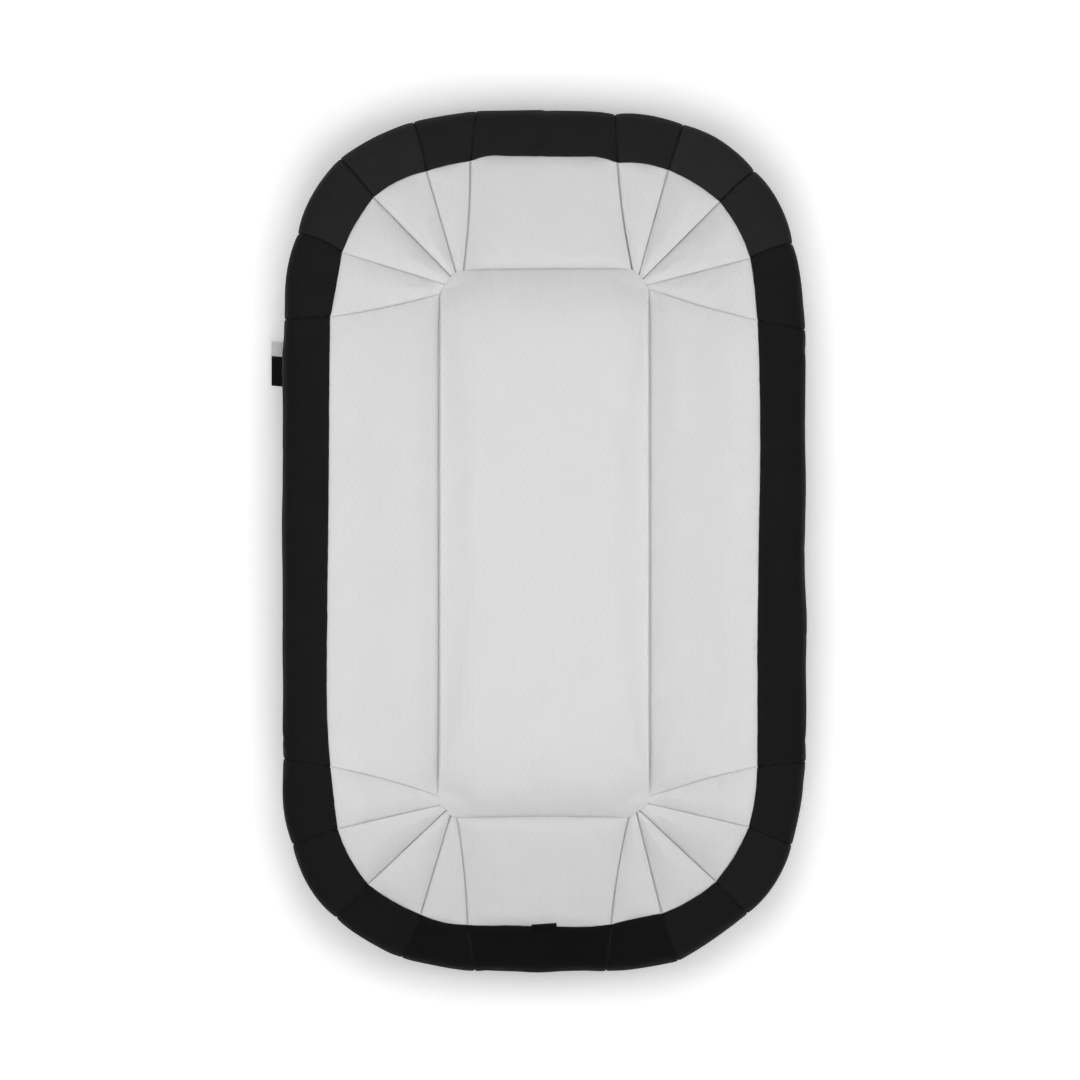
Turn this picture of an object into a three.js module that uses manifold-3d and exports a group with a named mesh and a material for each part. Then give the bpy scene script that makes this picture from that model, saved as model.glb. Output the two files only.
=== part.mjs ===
// A padded infant lounger: a crowned sleep mat, sloping quilted walls that fan out round each corner in four gussets,
// and a dark boxed rim that goes round the whole nest. The cover zips open along one long side to let the foam out.
// Lengths are in millimetres. +Z is up, +Y is the head end, and the origin is on the floor under the middle of the mat.
import * as THREE from 'three';
import Module from 'manifold-3d';
import { mergeVertices } from 'three/addons/utils/BufferGeometryUtils.js';

// Driving dimensions of the whole lounger
const overallLength = 1000;
const overallWidth = 607;
const outerCornerRadius = 218;
const rimWidth = 53;
const innerCornerRadius = 174;
const matLength = 638;
const matWidth = 246;
const matCornerRadius = 26;

// Heights of the seams and of the rim above the floor
const matSeamHeight = 25;
const rimSeamHeight = 88;
const rimCrestHeight = 100;
const rimWidestHeight = 56;
const edgeSeamHeight = 22;

// Padding of the covers
const padThickness = 7;
const seamGap = 0.4;
const fitClearance = 0.3;
const wallPuff = 7;
const puffReach = 30;
const rimDrawIn = 4;
const edgeSeamTuck = 8.5;
const matEdgeCrown = 17;
const matEdgeReach = 60;
const matMiddleCrown = 3;
const undersideThickness = 2.5;
const undersideRound = 22;

// Zip in the edge seam of the right long side
const zipBand = 10;
const zipTapeThickness = 0.8;
const zipCoilWidth = 2.3;
const zipCoilThickness = 2;
const zipNeckThickness = 0.7;
const zipNeckLength = 4;
const zipPlateLength = 13;
const zipPlateThickness = 1;
const zipPlateNarrowing = 0.9;
const zipFlangeThickness = 0.7;
const zipBridgeWidth = 2.4;
const zipBridgeThickness = 0.8;
const zipBridgeLength = 6.4;
const zipEndMargin = 5;

// Zip pull
const pullLength = 24;
const pullWidth = 6.8;
const pullThickness = 1.3;
const pullSlotLength = 3.6;
const pullBarLength = 1.3;
const pullTipRadius = 1.6;

// Labels sewn into the seams
const labelReach = 22;
const labelThickness = 1.2;
const labelDroop = 3;
const labelBelowSeam = 22;
const paleLabelLength = 17;
const darkLabelLength = 35;
const careLabelWidth = 29;
const careLabelLength = 9;
const careLabelThickness = 0.8;
const careLabelLean = Math.PI / 5;

// Shares: where a seam crosses a corner, from 0 where the corner leaves the head or foot side to 1 where it meets the
// long side, and how a section is divided
const outerSeamShares = [-0.02, 0.22, 0.5, 0.79, 1.09];
const innerSeamShares = [0.03, 0.245, 0.505, 0.775, 1.047];
const matSeamShares = [0.06, 0.29, 0.46, 0.74, 0.98];
const wallFootSlopeShare = 0.6;
const rimCrestShare = 0.45;
const shoulderPowerShare = 0.85;
const matLoopShares = [0, 0.06, 0.16, 0.32, 0.6, 0.95];
const matLoopRoundShare = 0.5;

// Counts of steps in the meshes
const gussetSteps = 4;
const longSideSteps = 14;
const endSideSteps = 8;
const wallSteps = 5;
const rollSteps = 2;
const shoulderSteps = 3;
const sideSteps = 2;
const underSteps = 4;
const matCornerSteps = 6;

const { lerp } = THREE.MathUtils;
const quarterTurn = Math.PI / 2;

const outerOutline = {
  halfWidth: overallWidth / 2,
  halfLength: overallLength / 2,
  radius: outerCornerRadius,
  seamShares: outerSeamShares,
};
const innerOutline = {
  halfWidth: overallWidth / 2 - rimWidth,
  halfLength: overallLength / 2 - rimWidth,
  radius: innerCornerRadius,
  seamShares: innerSeamShares,
};
const matOutline = {
  halfWidth: matWidth / 2,
  halfLength: matLength / 2,
  radius: matCornerRadius,
  seamShares: matSeamShares,
};

// Materials
function material(name, color, roughness, metalness) {
  return new THREE.MeshStandardMaterial({ name, color, roughness, metalness });
}
const paleMesh = () => material('pale_mesh', 0xdadada, 0.9, 0);
const darkKnit = () => material('dark_knit', 0x1c1c1d, 0.85, 0);
const foam = () => material('foam', 0xe9e4d2, 1, 0);
const zipWeave = () => material('zip_weave', 0x202021, 0.8, 0);
const zipPlastic = () => material('zip_plastic', 0x262627, 0.4, 0);
const zipMetal = () => material('zip_metal', 0x2c2c2e, 0.35, 0.9);
const paleWeave = () => material('pale_weave', 0xb9babb, 0.7, 0);
const darkWeave = () => material('dark_weave', 0x141414, 0.6, 0);

// Geometry helpers

// A closed body through a row of loops with equally many points, with its first and last loop filled in.
// flatten gives the two coordinates in which a loop is filled.
function loftLoops(loops, flatten) {
  const count = loops[0].length;
  const triangles = [];
  for (let i = 0; i < loops.length - 1; i++) {
    for (let j = 0; j < count; j++) {
      const here = i * count + j;
      const next = i * count + ((j + 1) % count);
      triangles.push([here, next, next + count], [here, next + count, here + count]);
    }
  }
  const fillEnd = (loop, offset, forward) => {
    const contour = loop.map(flatten);
    const contourTurn = Math.sign(THREE.ShapeUtils.area(contour));
    for (const [a, b, c] of THREE.ShapeUtils.triangulateShape(contour, [])) {
      const turn = Math.sign(THREE.ShapeUtils.area([contour[a], contour[b], contour[c]]));
      const same = (turn === contourTurn) === forward;
      triangles.push(same ? [offset + a, offset + b, offset + c] : [offset + a, offset + c, offset + b]);
    }
  };
  fillEnd(loops[0], 0, false);
  fillEnd(loops[loops.length - 1], (loops.length - 1) * count, true);

  const points = loops.flat();
  let volume = 0;
  for (const [a, b, c] of triangles) volume += points[a].dot(points[b].clone().cross(points[c]));
  const index = triangles.flatMap(([a, b, c]) => (volume > 0 ? [a, b, c] : [a, c, b]));
  const geometry = new THREE.BufferGeometry().setFromPoints(points);
  geometry.setIndex(index);
  geometry.computeVertexNormals();
  return geometry;
}

const seenFromAbove = (point) => new THREE.Vector2(point.x, point.y);

// A closed body through a row of upright sections. Each section is a list of [point, distance along the section].
function loftSections(sections) {
  const alongs = new Map();
  for (const section of sections) for (const [point, along] of section) alongs.set(point, along);
  const loops = sections.map((section) => section.map(([point]) => point));
  return loftLoops(loops, (point) => new THREE.Vector2(alongs.get(point), point.z));
}

// Outlines seen from above

// A point on the quarter of a rounded rectangle at the head end on the right. Shares below 0 and above 1 run on along
// the straight sides.
function outlinePoint({ halfWidth, halfLength, radius }, share) {
  const arcLength = radius * quarterTurn;
  const angle = THREE.MathUtils.clamp(share, 0, 1) * quarterTurn;
  const before = Math.min(share, 0) * arcLength;
  const beyond = Math.max(share - 1, 0) * arcLength;
  return new THREE.Vector2(
    halfWidth - radius + radius * Math.sin(angle) + before,
    halfLength - radius + radius * Math.cos(angle) - beyond,
  );
}

// The twenty panels that go round the nest. Each says where its share s from 0 to 1 lies on an outline.
const corners = [
  { name: 'head_right', sideX: 1, sideY: 1 },
  { name: 'foot_right', sideX: 1, sideY: -1 },
  { name: 'foot_left', sideX: -1, sideY: -1 },
  { name: 'head_left', sideX: -1, sideY: 1 },
];

function gussetPanel({ sideX, sideY }, number) {
  const place = (outline, s) => {
    const share = lerp(outline.seamShares[number], outline.seamShares[number + 1], s);
    return outlinePoint(outline, share).multiply(new THREE.Vector2(sideX, sideY));
  };
  return { place, steps: gussetSteps };
}

function longPanel(sideX) {
  const place = (outline, s) => {
    const end = outlinePoint(outline, outline.seamShares.at(-1));
    return new THREE.Vector2(sideX * end.x, lerp(end.y, -end.y, s));
  };
  return { place, steps: longSideSteps };
}

function endPanel(sideY) {
  const place = (outline, s) => {
    const end = outlinePoint(outline, outline.seamShares[0]);
    return new THREE.Vector2(lerp(-end.x, end.x, s), sideY * end.y);
  };
  return { place, steps: endSideSteps };
}

// Shares along a panel, closer together near its two seams on the long sides
function panelShares(steps) {
  const even = Array.from({ length: steps + 1 }, (_, i) => i / steps);
  return steps === gussetSteps ? even : even.map((share) => (1 - Math.cos(Math.PI * share)) / 2);
}

// How far a panel's surface has risen at a distance from its seam: 0 on the seam and 1 beyond the reach of the puff
const rise = (distance, reach) => Math.sin(Math.min(distance / reach, 1) * quarterTurn);

// The place seen from above of share s along a panel and share t from one outline to another. It stays half a seam gap
// inside the panel's seams.
function panelPlace(panel, from, to, s, t) {
  const start = panel.place(from, 0).lerp(panel.place(to, 0), t);
  const end = panel.place(from, 1).lerp(panel.place(to, 1), t);
  const length = start.distanceTo(end);
  const gapShare = seamGap / 2 / length;
  const inside = lerp(gapShare, 1 - gapShare, s);
  const point = panel.place(from, inside).lerp(panel.place(to, inside), t);
  return { point, toSeam: Math.min(inside, 1 - inside) * length };
}

// Sloping walls between the mat and the rim

const wallShare = (t) => wallFootSlopeShare * t + (1 - wallFootSlopeShare) * t * t;
const wallHeight = (t) => lerp(matSeamHeight, rimSeamHeight, wallShare(t));
const wallShares = Array.from({ length: wallSteps + 1 }, (_, i) => i / wallSteps);

function wallWidth(panel, s) {
  return panel.place(matOutline, s).distanceTo(panel.place(innerOutline, s));
}

function wallSection(panel, s) {
  const width = wallWidth(panel, s);
  const gapShare = seamGap / 2 / width;
  const top = [];
  const underneath = [];
  for (const share of wallShares) {
    const t = lerp(gapShare, 1 - gapShare, share);
    const { point, toSeam } = panelPlace(panel, matOutline, innerOutline, s, t);
    const toEnds = Math.min(share, 1 - share) * width;
    const puff = wallPuff * rise(toSeam, puffReach) * rise(toEnds, puffReach);
    top.push([new THREE.Vector3(point.x, point.y, wallHeight(t) + puff), t * width]);
    underneath.unshift([new THREE.Vector3(point.x, point.y, wallHeight(t) - padThickness), t * width]);
  }
  return [...top, ...underneath];
}

function wallCover(panel) {
  return loftSections(panelShares(panel.steps).map((s) => wallSection(panel, s)));
}

// Boxed rim

// The rim's section at a depth under its skin, as [distance out from the inner seam, height]. depthAt gives the depth
// for a share of the way from the inner seam over the crest to the edge seam.
function rimProfile(edgeHeight, depthAt) {
  const total = rollSteps + shoulderSteps + sideSteps;
  const crestOut = rimWidth * rimCrestShare;
  const profile = [];
  for (let i = 0; i < rollSteps; i++) {
    const depth = depthAt(profile.length / total);
    const angle = (i / rollSteps) * quarterTurn;
    const climb = (rimCrestHeight - rimSeamHeight) * Math.sin(angle);
    profile.push([crestOut * (1 - Math.cos(angle)), rimSeamHeight + climb - depth]);
  }
  for (let i = 0; i < shoulderSteps; i++) {
    const depth = depthAt(profile.length / total);
    const angle = (i / shoulderSteps) * quarterTurn;
    const outShare = Math.sin(angle) ** shoulderPowerShare;
    const upShare = Math.cos(angle) ** shoulderPowerShare;
    profile.push([
      lerp(crestOut, rimWidth - depth, outShare),
      lerp(rimWidestHeight, rimCrestHeight - depth, upShare),
    ]);
  }
  for (let i = 0; i <= sideSteps; i++) {
    const depth = depthAt(profile.length / total);
    const share = i / sideSteps;
    profile.push([rimWidth - depth - edgeSeamTuck * share * share, lerp(rimWidestHeight, edgeHeight, share)]);
  }
  return profile;
}

function rimPoint(panel, s, out, height) {
  const { point } = panelPlace(panel, innerOutline, outerOutline, s, out / rimWidth);
  return new THREE.Vector3(point.x, point.y, height);
}

function rimSection(panel, s, edgeHeight) {
  const { toSeam } = panelPlace(panel, innerOutline, outerOutline, s, 1);
  const drawIn = rimDrawIn * (1 - rise(toSeam, puffReach));
  const gap = seamGap / 2;
  const lowEdge = edgeHeight + gap;
  const outside = rimProfile(lowEdge, (share) => drawIn * Math.sqrt(Math.sin(Math.PI * share)));
  const inside = rimProfile(lowEdge, () => padThickness);
  return [...outside, ...inside.reverse()].map(([out, height]) => {
    const clear = Math.max(out, gap);
    return [rimPoint(panel, s, clear, height), clear];
  });
}

function rimCover(panel, edgeHeight) {
  return loftSections(panelShares(panel.steps).map((s) => rimSection(panel, s, edgeHeight)));
}

// Foam inside the walls and rim

// The curve from the edge seam down to the flat bottom, at a distance inside the skin and above the floor
function underProfile(inset, floorHeight) {
  const edgeOut = rimWidth - edgeSeamTuck;
  const profile = [];
  for (let i = 0; i <= underSteps; i++) {
    const angle = (i / underSteps) * quarterTurn;
    profile.push([
      edgeOut - undersideRound + (undersideRound - inset) * Math.cos(angle),
      edgeSeamHeight - (edgeSeamHeight - floorHeight) * Math.sin(angle),
    ]);
  }
  return profile;
}

function foamSection(panel, s, edgeHeight) {
  const depth = padThickness + fitClearance;
  const bottom = undersideThickness + fitClearance;
  const width = wallWidth(panel, s);
  const gapShare = seamGap / 2 / width;
  const section = [];
  const addWallPoint = (t, height) => {
    const { point } = panelPlace(panel, matOutline, innerOutline, s, t);
    section.push([new THREE.Vector3(point.x, point.y, height), t * width]);
  };
  addWallPoint(gapShare, bottom);
  for (const share of wallShares.slice(0, -1)) {
    const t = lerp(gapShare, 1 - gapShare, share);
    addWallPoint(t, wallHeight(t) - depth);
  }
  const under = underProfile(depth, bottom);
  const skirt = edgeHeight > edgeSeamHeight ? under : under.slice(1);
  for (const [out, height] of [...rimProfile(edgeHeight, () => depth), ...skirt]) {
    section.push([rimPoint(panel, s, out, height), width + out]);
  }
  return section;
}

function sideFoam(panel, edgeHeight) {
  return loftSections([0, 1].map((s) => foamSection(panel, s, edgeHeight)));
}

function cornerFoam(corner) {
  const sections = [];
  const whole = {
    place: (outline, s) => {
      const gussets = outline.seamShares.length - 1;
      const number = Math.min(Math.floor(s * gussets), gussets - 1);
      return gussetPanel(corner, number).place(outline, s * gussets - number);
    },
  };
  const steps = (outerSeamShares.length - 1) * gussetSteps;
  for (let i = 0; i <= steps; i++) sections.push(foamSection(whole, i / steps, edgeSeamHeight));
  return loftSections(sections);
}

// Mat in the middle

// Loops of the mat's top, from its seam inward, lowered by a depth under the crowned skin
function matLoops(depth) {
  return matLoopShares.map((share) => {
    const inset = seamGap / 2 + share * matOutline.halfWidth;
    const loop = {
      halfWidth: matOutline.halfWidth - inset,
      halfLength: matOutline.halfLength - inset,
      radius: Math.min(matCornerRadius + inset * matLoopRoundShare, matOutline.halfWidth - inset),
    };
    const height = matSeamHeight + matEdgeCrown * rise(inset, matEdgeReach) + matMiddleCrown * share - depth;
    return corners.flatMap(({ sideX, sideY }) => {
      const quarter = Array.from({ length: matCornerSteps + 1 }, (_, i) => {
        const point = outlinePoint(loop, i / matCornerSteps);
        return new THREE.Vector3(sideX * point.x, sideY * point.y, height);
      });
      return sideX === sideY ? quarter : quarter.reverse();
    });
  });
}

function matCover() {
  return loftLoops([...matLoops(padThickness).reverse(), ...matLoops(0)], seenFromAbove);
}

function matFoam() {
  const top = matLoops(padThickness + fitClearance);
  const bottom = top[0].map((point) => new THREE.Vector3(point.x, point.y, undersideThickness + fitClearance));
  return loftLoops([bottom, ...top], seenFromAbove);
}

// Underside, a shallow dish from the flat bottom up to the edge seam

// Where the sections round the lounger stand, in order: each gusset's steps and the start of each side panel
function stations() {
  const list = [];
  for (const corner of corners) {
    const forward = corner.sideX === corner.sideY;
    const gussets = outerSeamShares.length - 1;
    const quarter = [];
    for (let number = 0; number < gussets; number++) {
      for (let i = 0; i < gussetSteps; i++) quarter.push([gussetPanel(corner, number), i / gussetSteps]);
    }
    quarter.push([gussetPanel(corner, gussets - 1), 1]);
    list.push(...(forward ? quarter : quarter.reverse()));
  }
  return list;
}

function undersideCover() {
  const loopsAt = (inset, floorHeight) => {
    const loops = Array.from({ length: underSteps + 1 }, () => []);
    for (const [panel, s] of stations()) {
      const inner = panel.place(innerOutline, s);
      const outer = panel.place(outerOutline, s);
      underProfile(inset, floorHeight).forEach(([out, height], i) => {
        const point = inner.clone().lerp(outer, out / rimWidth);
        const lowered = Math.min(height, edgeSeamHeight - seamGap / 2);
        loops[i].push(new THREE.Vector3(point.x, point.y, lowered));
      });
    }
    return loops;
  };
  const outside = loopsAt(0, 0);
  const inside = loopsAt(undersideThickness, undersideThickness);
  return loftLoops([...outside.reverse(), ...inside], seenFromAbove);
}

// Zip. Its group's x runs along the zip towards the head, y up across it and z out of the lounger.

const zipMiddleHeight = edgeSeamHeight + zipBand / 2;
const edgeSeamShare = 1 - edgeSeamTuck / rimWidth;
const sideHeadEnd = panelPlace(longPanel(1), innerOutline, outerOutline, 0, edgeSeamShare).point.y;
const zipLength = 2 * (sideHeadEnd - fitClearance);
const zipSlit = zipNeckThickness + 2 * fitClearance;
const zipTapeWidth = (zipBand - seamGap - 2 * fitClearance - zipSlit) / 2;
const zipCoilOut = zipTapeThickness + fitClearance;
const zipInnerPlateOut = zipCoilOut + zipCoilThickness + fitClearance;
const zipFlangeIn = zipSlit / 2 + zipCoilWidth + fitClearance;
const zipPlateWidth = 2 * (zipFlangeIn + zipFlangeThickness);
const zipFaceOut = fitClearance + zipPlateThickness;
const pullAxisOut = zipFaceOut + pullThickness / 2 + fitClearance;
const zipBridgeInside = pullAxisOut + pullThickness / 2 + fitClearance;
const sliderStart = zipEndMargin + pullLength - zipLength / 2;

function centredBox(length, width, depth, x, y, z) {
  return new THREE.BoxGeometry(length, width, depth).translate(x, y, z);
}

function zipTape(side) {
  const middle = side * (zipSlit + zipTapeWidth) / 2;
  return centredBox(zipLength, zipTapeWidth, zipTapeThickness, 0, middle, -zipTapeThickness / 2);
}

function zipCoil(side) {
  const middle = side * (zipSlit + zipCoilWidth) / 2;
  const section = new THREE.Shape();
  section.absellipse(0, 0, zipCoilWidth / 2, zipCoilThickness / 2, 0, 2 * Math.PI);
  const coil = new THREE.ExtrudeGeometry(section, { depth: zipLength, bevelEnabled: false, curveSegments: 8 });
  coil.rotateY(quarterTurn);
  coil.rotateX(quarterTurn);
  return coil.translate(-zipLength / 2, middle, -zipCoilOut - zipCoilThickness / 2);
}

// The slider's plate, wide at its mouth and narrower at its tail
function sliderPlate(out) {
  const mouth = zipPlateLength / 2;
  const half = zipPlateWidth / 2;
  const tailHalf = half - zipPlateNarrowing;
  const plate = new THREE.Shape();
  plate.moveTo(-mouth, -tailHalf);
  plate.quadraticCurveTo(0, -tailHalf, mouth / 2, -half);
  plate.lineTo(mouth, -half);
  plate.lineTo(mouth, half);
  plate.lineTo(mouth / 2, half);
  plate.quadraticCurveTo(0, tailHalf, -mouth, tailHalf);
  const settings = { depth: zipPlateThickness, bevelEnabled: false, curveSegments: 5 };
  return new THREE.ExtrudeGeometry(plate, settings).translate(0, 0, out);
}

// The bridge that the pull hangs on, an arch drawn in x and z and drawn out across the slider
function sliderBridge() {
  const foot = zipBridgeLength / 2;
  const height = zipBridgeInside + zipBridgeThickness;
  const inner = foot - zipBridgeThickness;
  const arch = new THREE.Shape();
  arch.moveTo(-foot, fitClearance);
  arch.lineTo(-foot, zipBridgeInside);
  arch.quadraticCurveTo(-foot, height, -inner, height);
  arch.lineTo(inner, height);
  arch.quadraticCurveTo(foot, height, foot, zipBridgeInside);
  arch.lineTo(foot, fitClearance);
  arch.lineTo(inner, fitClearance);
  arch.lineTo(inner, zipBridgeInside);
  arch.lineTo(-inner, zipBridgeInside);
  arch.lineTo(-inner, fitClearance);
  const settings = { depth: zipBridgeWidth, bevelEnabled: false, curveSegments: 3 };
  const bridge = new THREE.ExtrudeGeometry(arch, settings);
  return bridge.rotateX(quarterTurn).translate(0, zipBridgeWidth / 2, 0);
}

const wasm = await Module();
wasm.setup();

function toSolid(geometry) {
  const bare = geometry.clone();
  bare.deleteAttribute('normal');
  bare.deleteAttribute('uv');
  const merged = mergeVertices(bare);
  return new wasm.Manifold(
    new wasm.Mesh({
      numProp: 3,
      vertProperties: new Float32Array(merged.attributes.position.array),
      triVerts: new Uint32Array(merged.index.array),
    }),
  );
}

function joined(geometries) {
  const { vertProperties, triVerts } = geometries.map(toSolid).reduce((sum, next) => sum.add(next)).getMesh();
  const geometry = new THREE.BufferGeometry();
  geometry.setAttribute('position', new THREE.BufferAttribute(vertProperties, 3));
  geometry.setIndex(new THREE.BufferAttribute(triVerts, 1));
  geometry.computeVertexNormals();
  return geometry;
}

function zipSlider() {
  const innerFaceOut = zipInnerPlateOut + zipPlateThickness;
  const flangeLength = zipPlateLength / 2;
  const flange = (side) =>
    centredBox(
      flangeLength,
      zipFlangeThickness,
      innerFaceOut - zipCoilOut,
      flangeLength / 2,
      side * (zipFlangeIn + zipFlangeThickness / 2),
      -(innerFaceOut + zipCoilOut) / 2,
    );
  const neckReach = innerFaceOut + zipFaceOut;
  const neckMiddle = (zipFaceOut - innerFaceOut) / 2;
  return joined([
    sliderPlate(fitClearance),
    sliderPlate(-innerFaceOut),
    flange(-1),
    flange(1),
    centredBox(zipNeckLength, zipNeckThickness, neckReach, 0, 0, neckMiddle),
    sliderBridge(),
  ]);
}

// The pull lies flat against the slider at rest, with its bar under the bridge and its blade towards the foot
function zipPull() {
  const end = pullBarLength / 2;
  const half = pullWidth / 2;
  const armHalf = zipBridgeWidth / 2 + fitClearance;
  const tip = end - pullLength;
  const blade = new THREE.Shape();
  blade.moveTo(end, -half);
  blade.lineTo(end, half);
  blade.lineTo(tip + pullTipRadius, half);
  blade.quadraticCurveTo(tip, half, tip, half - pullTipRadius);
  blade.lineTo(tip, pullTipRadius - half);
  blade.quadraticCurveTo(tip, -half, tip + pullTipRadius, -half);
  const slot = new THREE.Path();
  slot.moveTo(-end, -armHalf);
  slot.lineTo(-end - pullSlotLength, -armHalf);
  slot.lineTo(-end - pullSlotLength, armHalf);
  slot.lineTo(-end, armHalf);
  blade.holes.push(slot);
  const settings = { depth: pullThickness, bevelEnabled: false, curveSegments: 4 };
  return new THREE.ExtrudeGeometry(blade, settings).translate(0, 0, pullAxisOut - pullThickness / 2);
}

// Labels

const labelTop = sideHeadEnd - labelBelowSeam;

// A folded tape that stands out of the edge seam on the left and droops a little, between two places along it
function sideLabel(from, to) {
  const start = outerOutline.halfWidth - edgeSeamTuck + fitClearance;
  const half = labelThickness / 2;
  const profile = new THREE.Shape();
  profile.moveTo(-start, edgeSeamHeight - half);
  profile.lineTo(-start, edgeSeamHeight + half);
  profile.quadraticCurveTo(
    -start - labelReach / 2,
    edgeSeamHeight + half,
    -start - labelReach,
    edgeSeamHeight - labelDroop + half,
  );
  profile.lineTo(-start - labelReach, edgeSeamHeight - labelDroop - half);
  profile.quadraticCurveTo(-start - labelReach / 2, edgeSeamHeight - half, -start, edgeSeamHeight - half);
  const label = new THREE.ExtrudeGeometry(profile, { depth: from - to, bevelEnabled: false, curveSegments: 5 });
  return label.rotateX(quarterTurn).translate(0, from, 0);
}

// A tab that stands out of the seam between the foot wall and the rim and leans over the wall
function careLabel() {
  const tab = new THREE.BoxGeometry(careLabelWidth, careLabelThickness, careLabelLength);
  tab.translate(0, careLabelThickness / 2, careLabelLength / 2);
  tab.rotateX(-careLabelLean);
  return tab.translate(0, -innerOutline.halfLength, rimSeamHeight + careLabelThickness);
}

// Assembly

const lounger = new THREE.Group();

function add(name, geometry, look, parent = lounger) {
  const mesh = new THREE.Mesh(geometry, look);
  mesh.name = name;
  parent.add(mesh);
  return mesh;
}

add('mat_cover', matCover(), paleMesh());
add('mat_foam', matFoam(), foam());
add('underside_cover', undersideCover(), darkKnit());

const sides = [
  { name: 'left', panel: longPanel(-1), edgeHeight: edgeSeamHeight },
  { name: 'right', panel: longPanel(1), edgeHeight: edgeSeamHeight + zipBand },
  { name: 'head', panel: endPanel(1), edgeHeight: edgeSeamHeight },
  { name: 'foot', panel: endPanel(-1), edgeHeight: edgeSeamHeight },
];
for (const { name, panel, edgeHeight } of sides) {
  add(`wall_cover_${name}`, wallCover(panel), paleMesh());
  add(`rim_cover_${name}`, rimCover(panel, edgeHeight), darkKnit());
  add(`side_foam_${name}`, sideFoam(panel, edgeHeight), foam());
}

for (const corner of corners) {
  for (let number = 0; number < outerSeamShares.length - 1; number++) {
    const panel = gussetPanel(corner, number);
    add(`wall_gusset_${corner.name}_${number + 1}`, wallCover(panel), paleMesh());
    add(`rim_gusset_${corner.name}_${number + 1}`, rimCover(panel, edgeSeamHeight), darkKnit());
  }
  add(`corner_foam_${corner.name}`, cornerFoam(corner), foam());
}

const zip = new THREE.Group();
const zipFrame = new THREE.Matrix4().makeBasis(
  new THREE.Vector3(0, 1, 0),
  new THREE.Vector3(0, 0, 1),
  new THREE.Vector3(1, 0, 0),
);
zip.quaternion.setFromRotationMatrix(zipFrame);
zip.position.set(outerOutline.halfWidth - edgeSeamTuck, 0, zipMiddleHeight);
lounger.add(zip);
add('zip_tape_upper', zipTape(1), zipWeave(), zip);
add('zip_tape_lower', zipTape(-1), zipWeave(), zip);
add('zip_coil_upper', zipCoil(1), zipPlastic(), zip);
add('zip_coil_lower', zipCoil(-1), zipPlastic(), zip);

const runner = new THREE.Group();
runner.position.x = sliderStart;
zip.add(runner);
add('zip_slider', zipSlider(), zipMetal(), runner);
add('zip_pull', zipPull(), zipMetal(), runner);

const paleLabelEnd = labelTop - paleLabelLength;
add('side_label_pale', sideLabel(labelTop, paleLabelEnd), paleWeave());
add('side_label_dark', sideLabel(paleLabelEnd - fitClearance, paleLabelEnd - darkLabelLength), darkWeave());
add('care_label', careLabel(), darkWeave());

export default lounger;
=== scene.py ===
import itertools
import math

import bpy
import numpy as np
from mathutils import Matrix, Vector


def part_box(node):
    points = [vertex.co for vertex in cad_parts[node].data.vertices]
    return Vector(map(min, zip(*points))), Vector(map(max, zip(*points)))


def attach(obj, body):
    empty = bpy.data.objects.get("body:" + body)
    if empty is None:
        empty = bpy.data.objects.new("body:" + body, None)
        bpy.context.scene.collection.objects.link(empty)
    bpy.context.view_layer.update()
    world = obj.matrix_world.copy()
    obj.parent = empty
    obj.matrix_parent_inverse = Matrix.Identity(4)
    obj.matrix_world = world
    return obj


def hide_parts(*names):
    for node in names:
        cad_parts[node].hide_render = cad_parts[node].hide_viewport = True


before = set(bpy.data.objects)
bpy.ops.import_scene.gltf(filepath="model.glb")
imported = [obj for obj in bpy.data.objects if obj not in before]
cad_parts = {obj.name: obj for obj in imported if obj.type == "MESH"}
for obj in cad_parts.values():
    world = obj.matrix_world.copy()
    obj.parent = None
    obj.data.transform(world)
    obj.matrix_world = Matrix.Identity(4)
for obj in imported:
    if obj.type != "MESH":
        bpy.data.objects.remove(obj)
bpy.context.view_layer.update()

MM = 0.001
QUARTER = math.pi / 2
TURN = 2 * math.pi

# Outlines seen from above: half the width, half the length and the corner radius of a rounded rectangle
OUTLINES = {
    "outer": (0.3035, 0.500, 0.218),
    "inner": (0.2505, 0.447, 0.174),
    "mat": (0.123, 0.319, 0.026),
}
# The outlines between which each kind of panel lies
BETWEEN = {"wall": ("mat", "inner"), "rim": ("inner", "outer")}

# Heights and widths of the section through the wall and the rim
RIM_WIDTH = 0.053
CREST_OUT = 0.45 * RIM_WIDTH
MAT_SEAM_HEIGHT = 0.025
RIM_SEAM_HEIGHT = 0.088
CREST_HEIGHT = 0.100
WIDEST_HEIGHT = 0.056
EDGE_SEAM_HEIGHT = 0.022
EDGE_TUCK = 0.0085
ZIP_BAND = 0.010
UNDER_ROUND = 0.022
UNDER_THICKNESS = 0.0025
COVER_THICKNESS = 0.005
FOAM_DEPTH = 0.0073
CLEARANCE = 0.0003
SEAM_LAP = 0.0004

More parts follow.
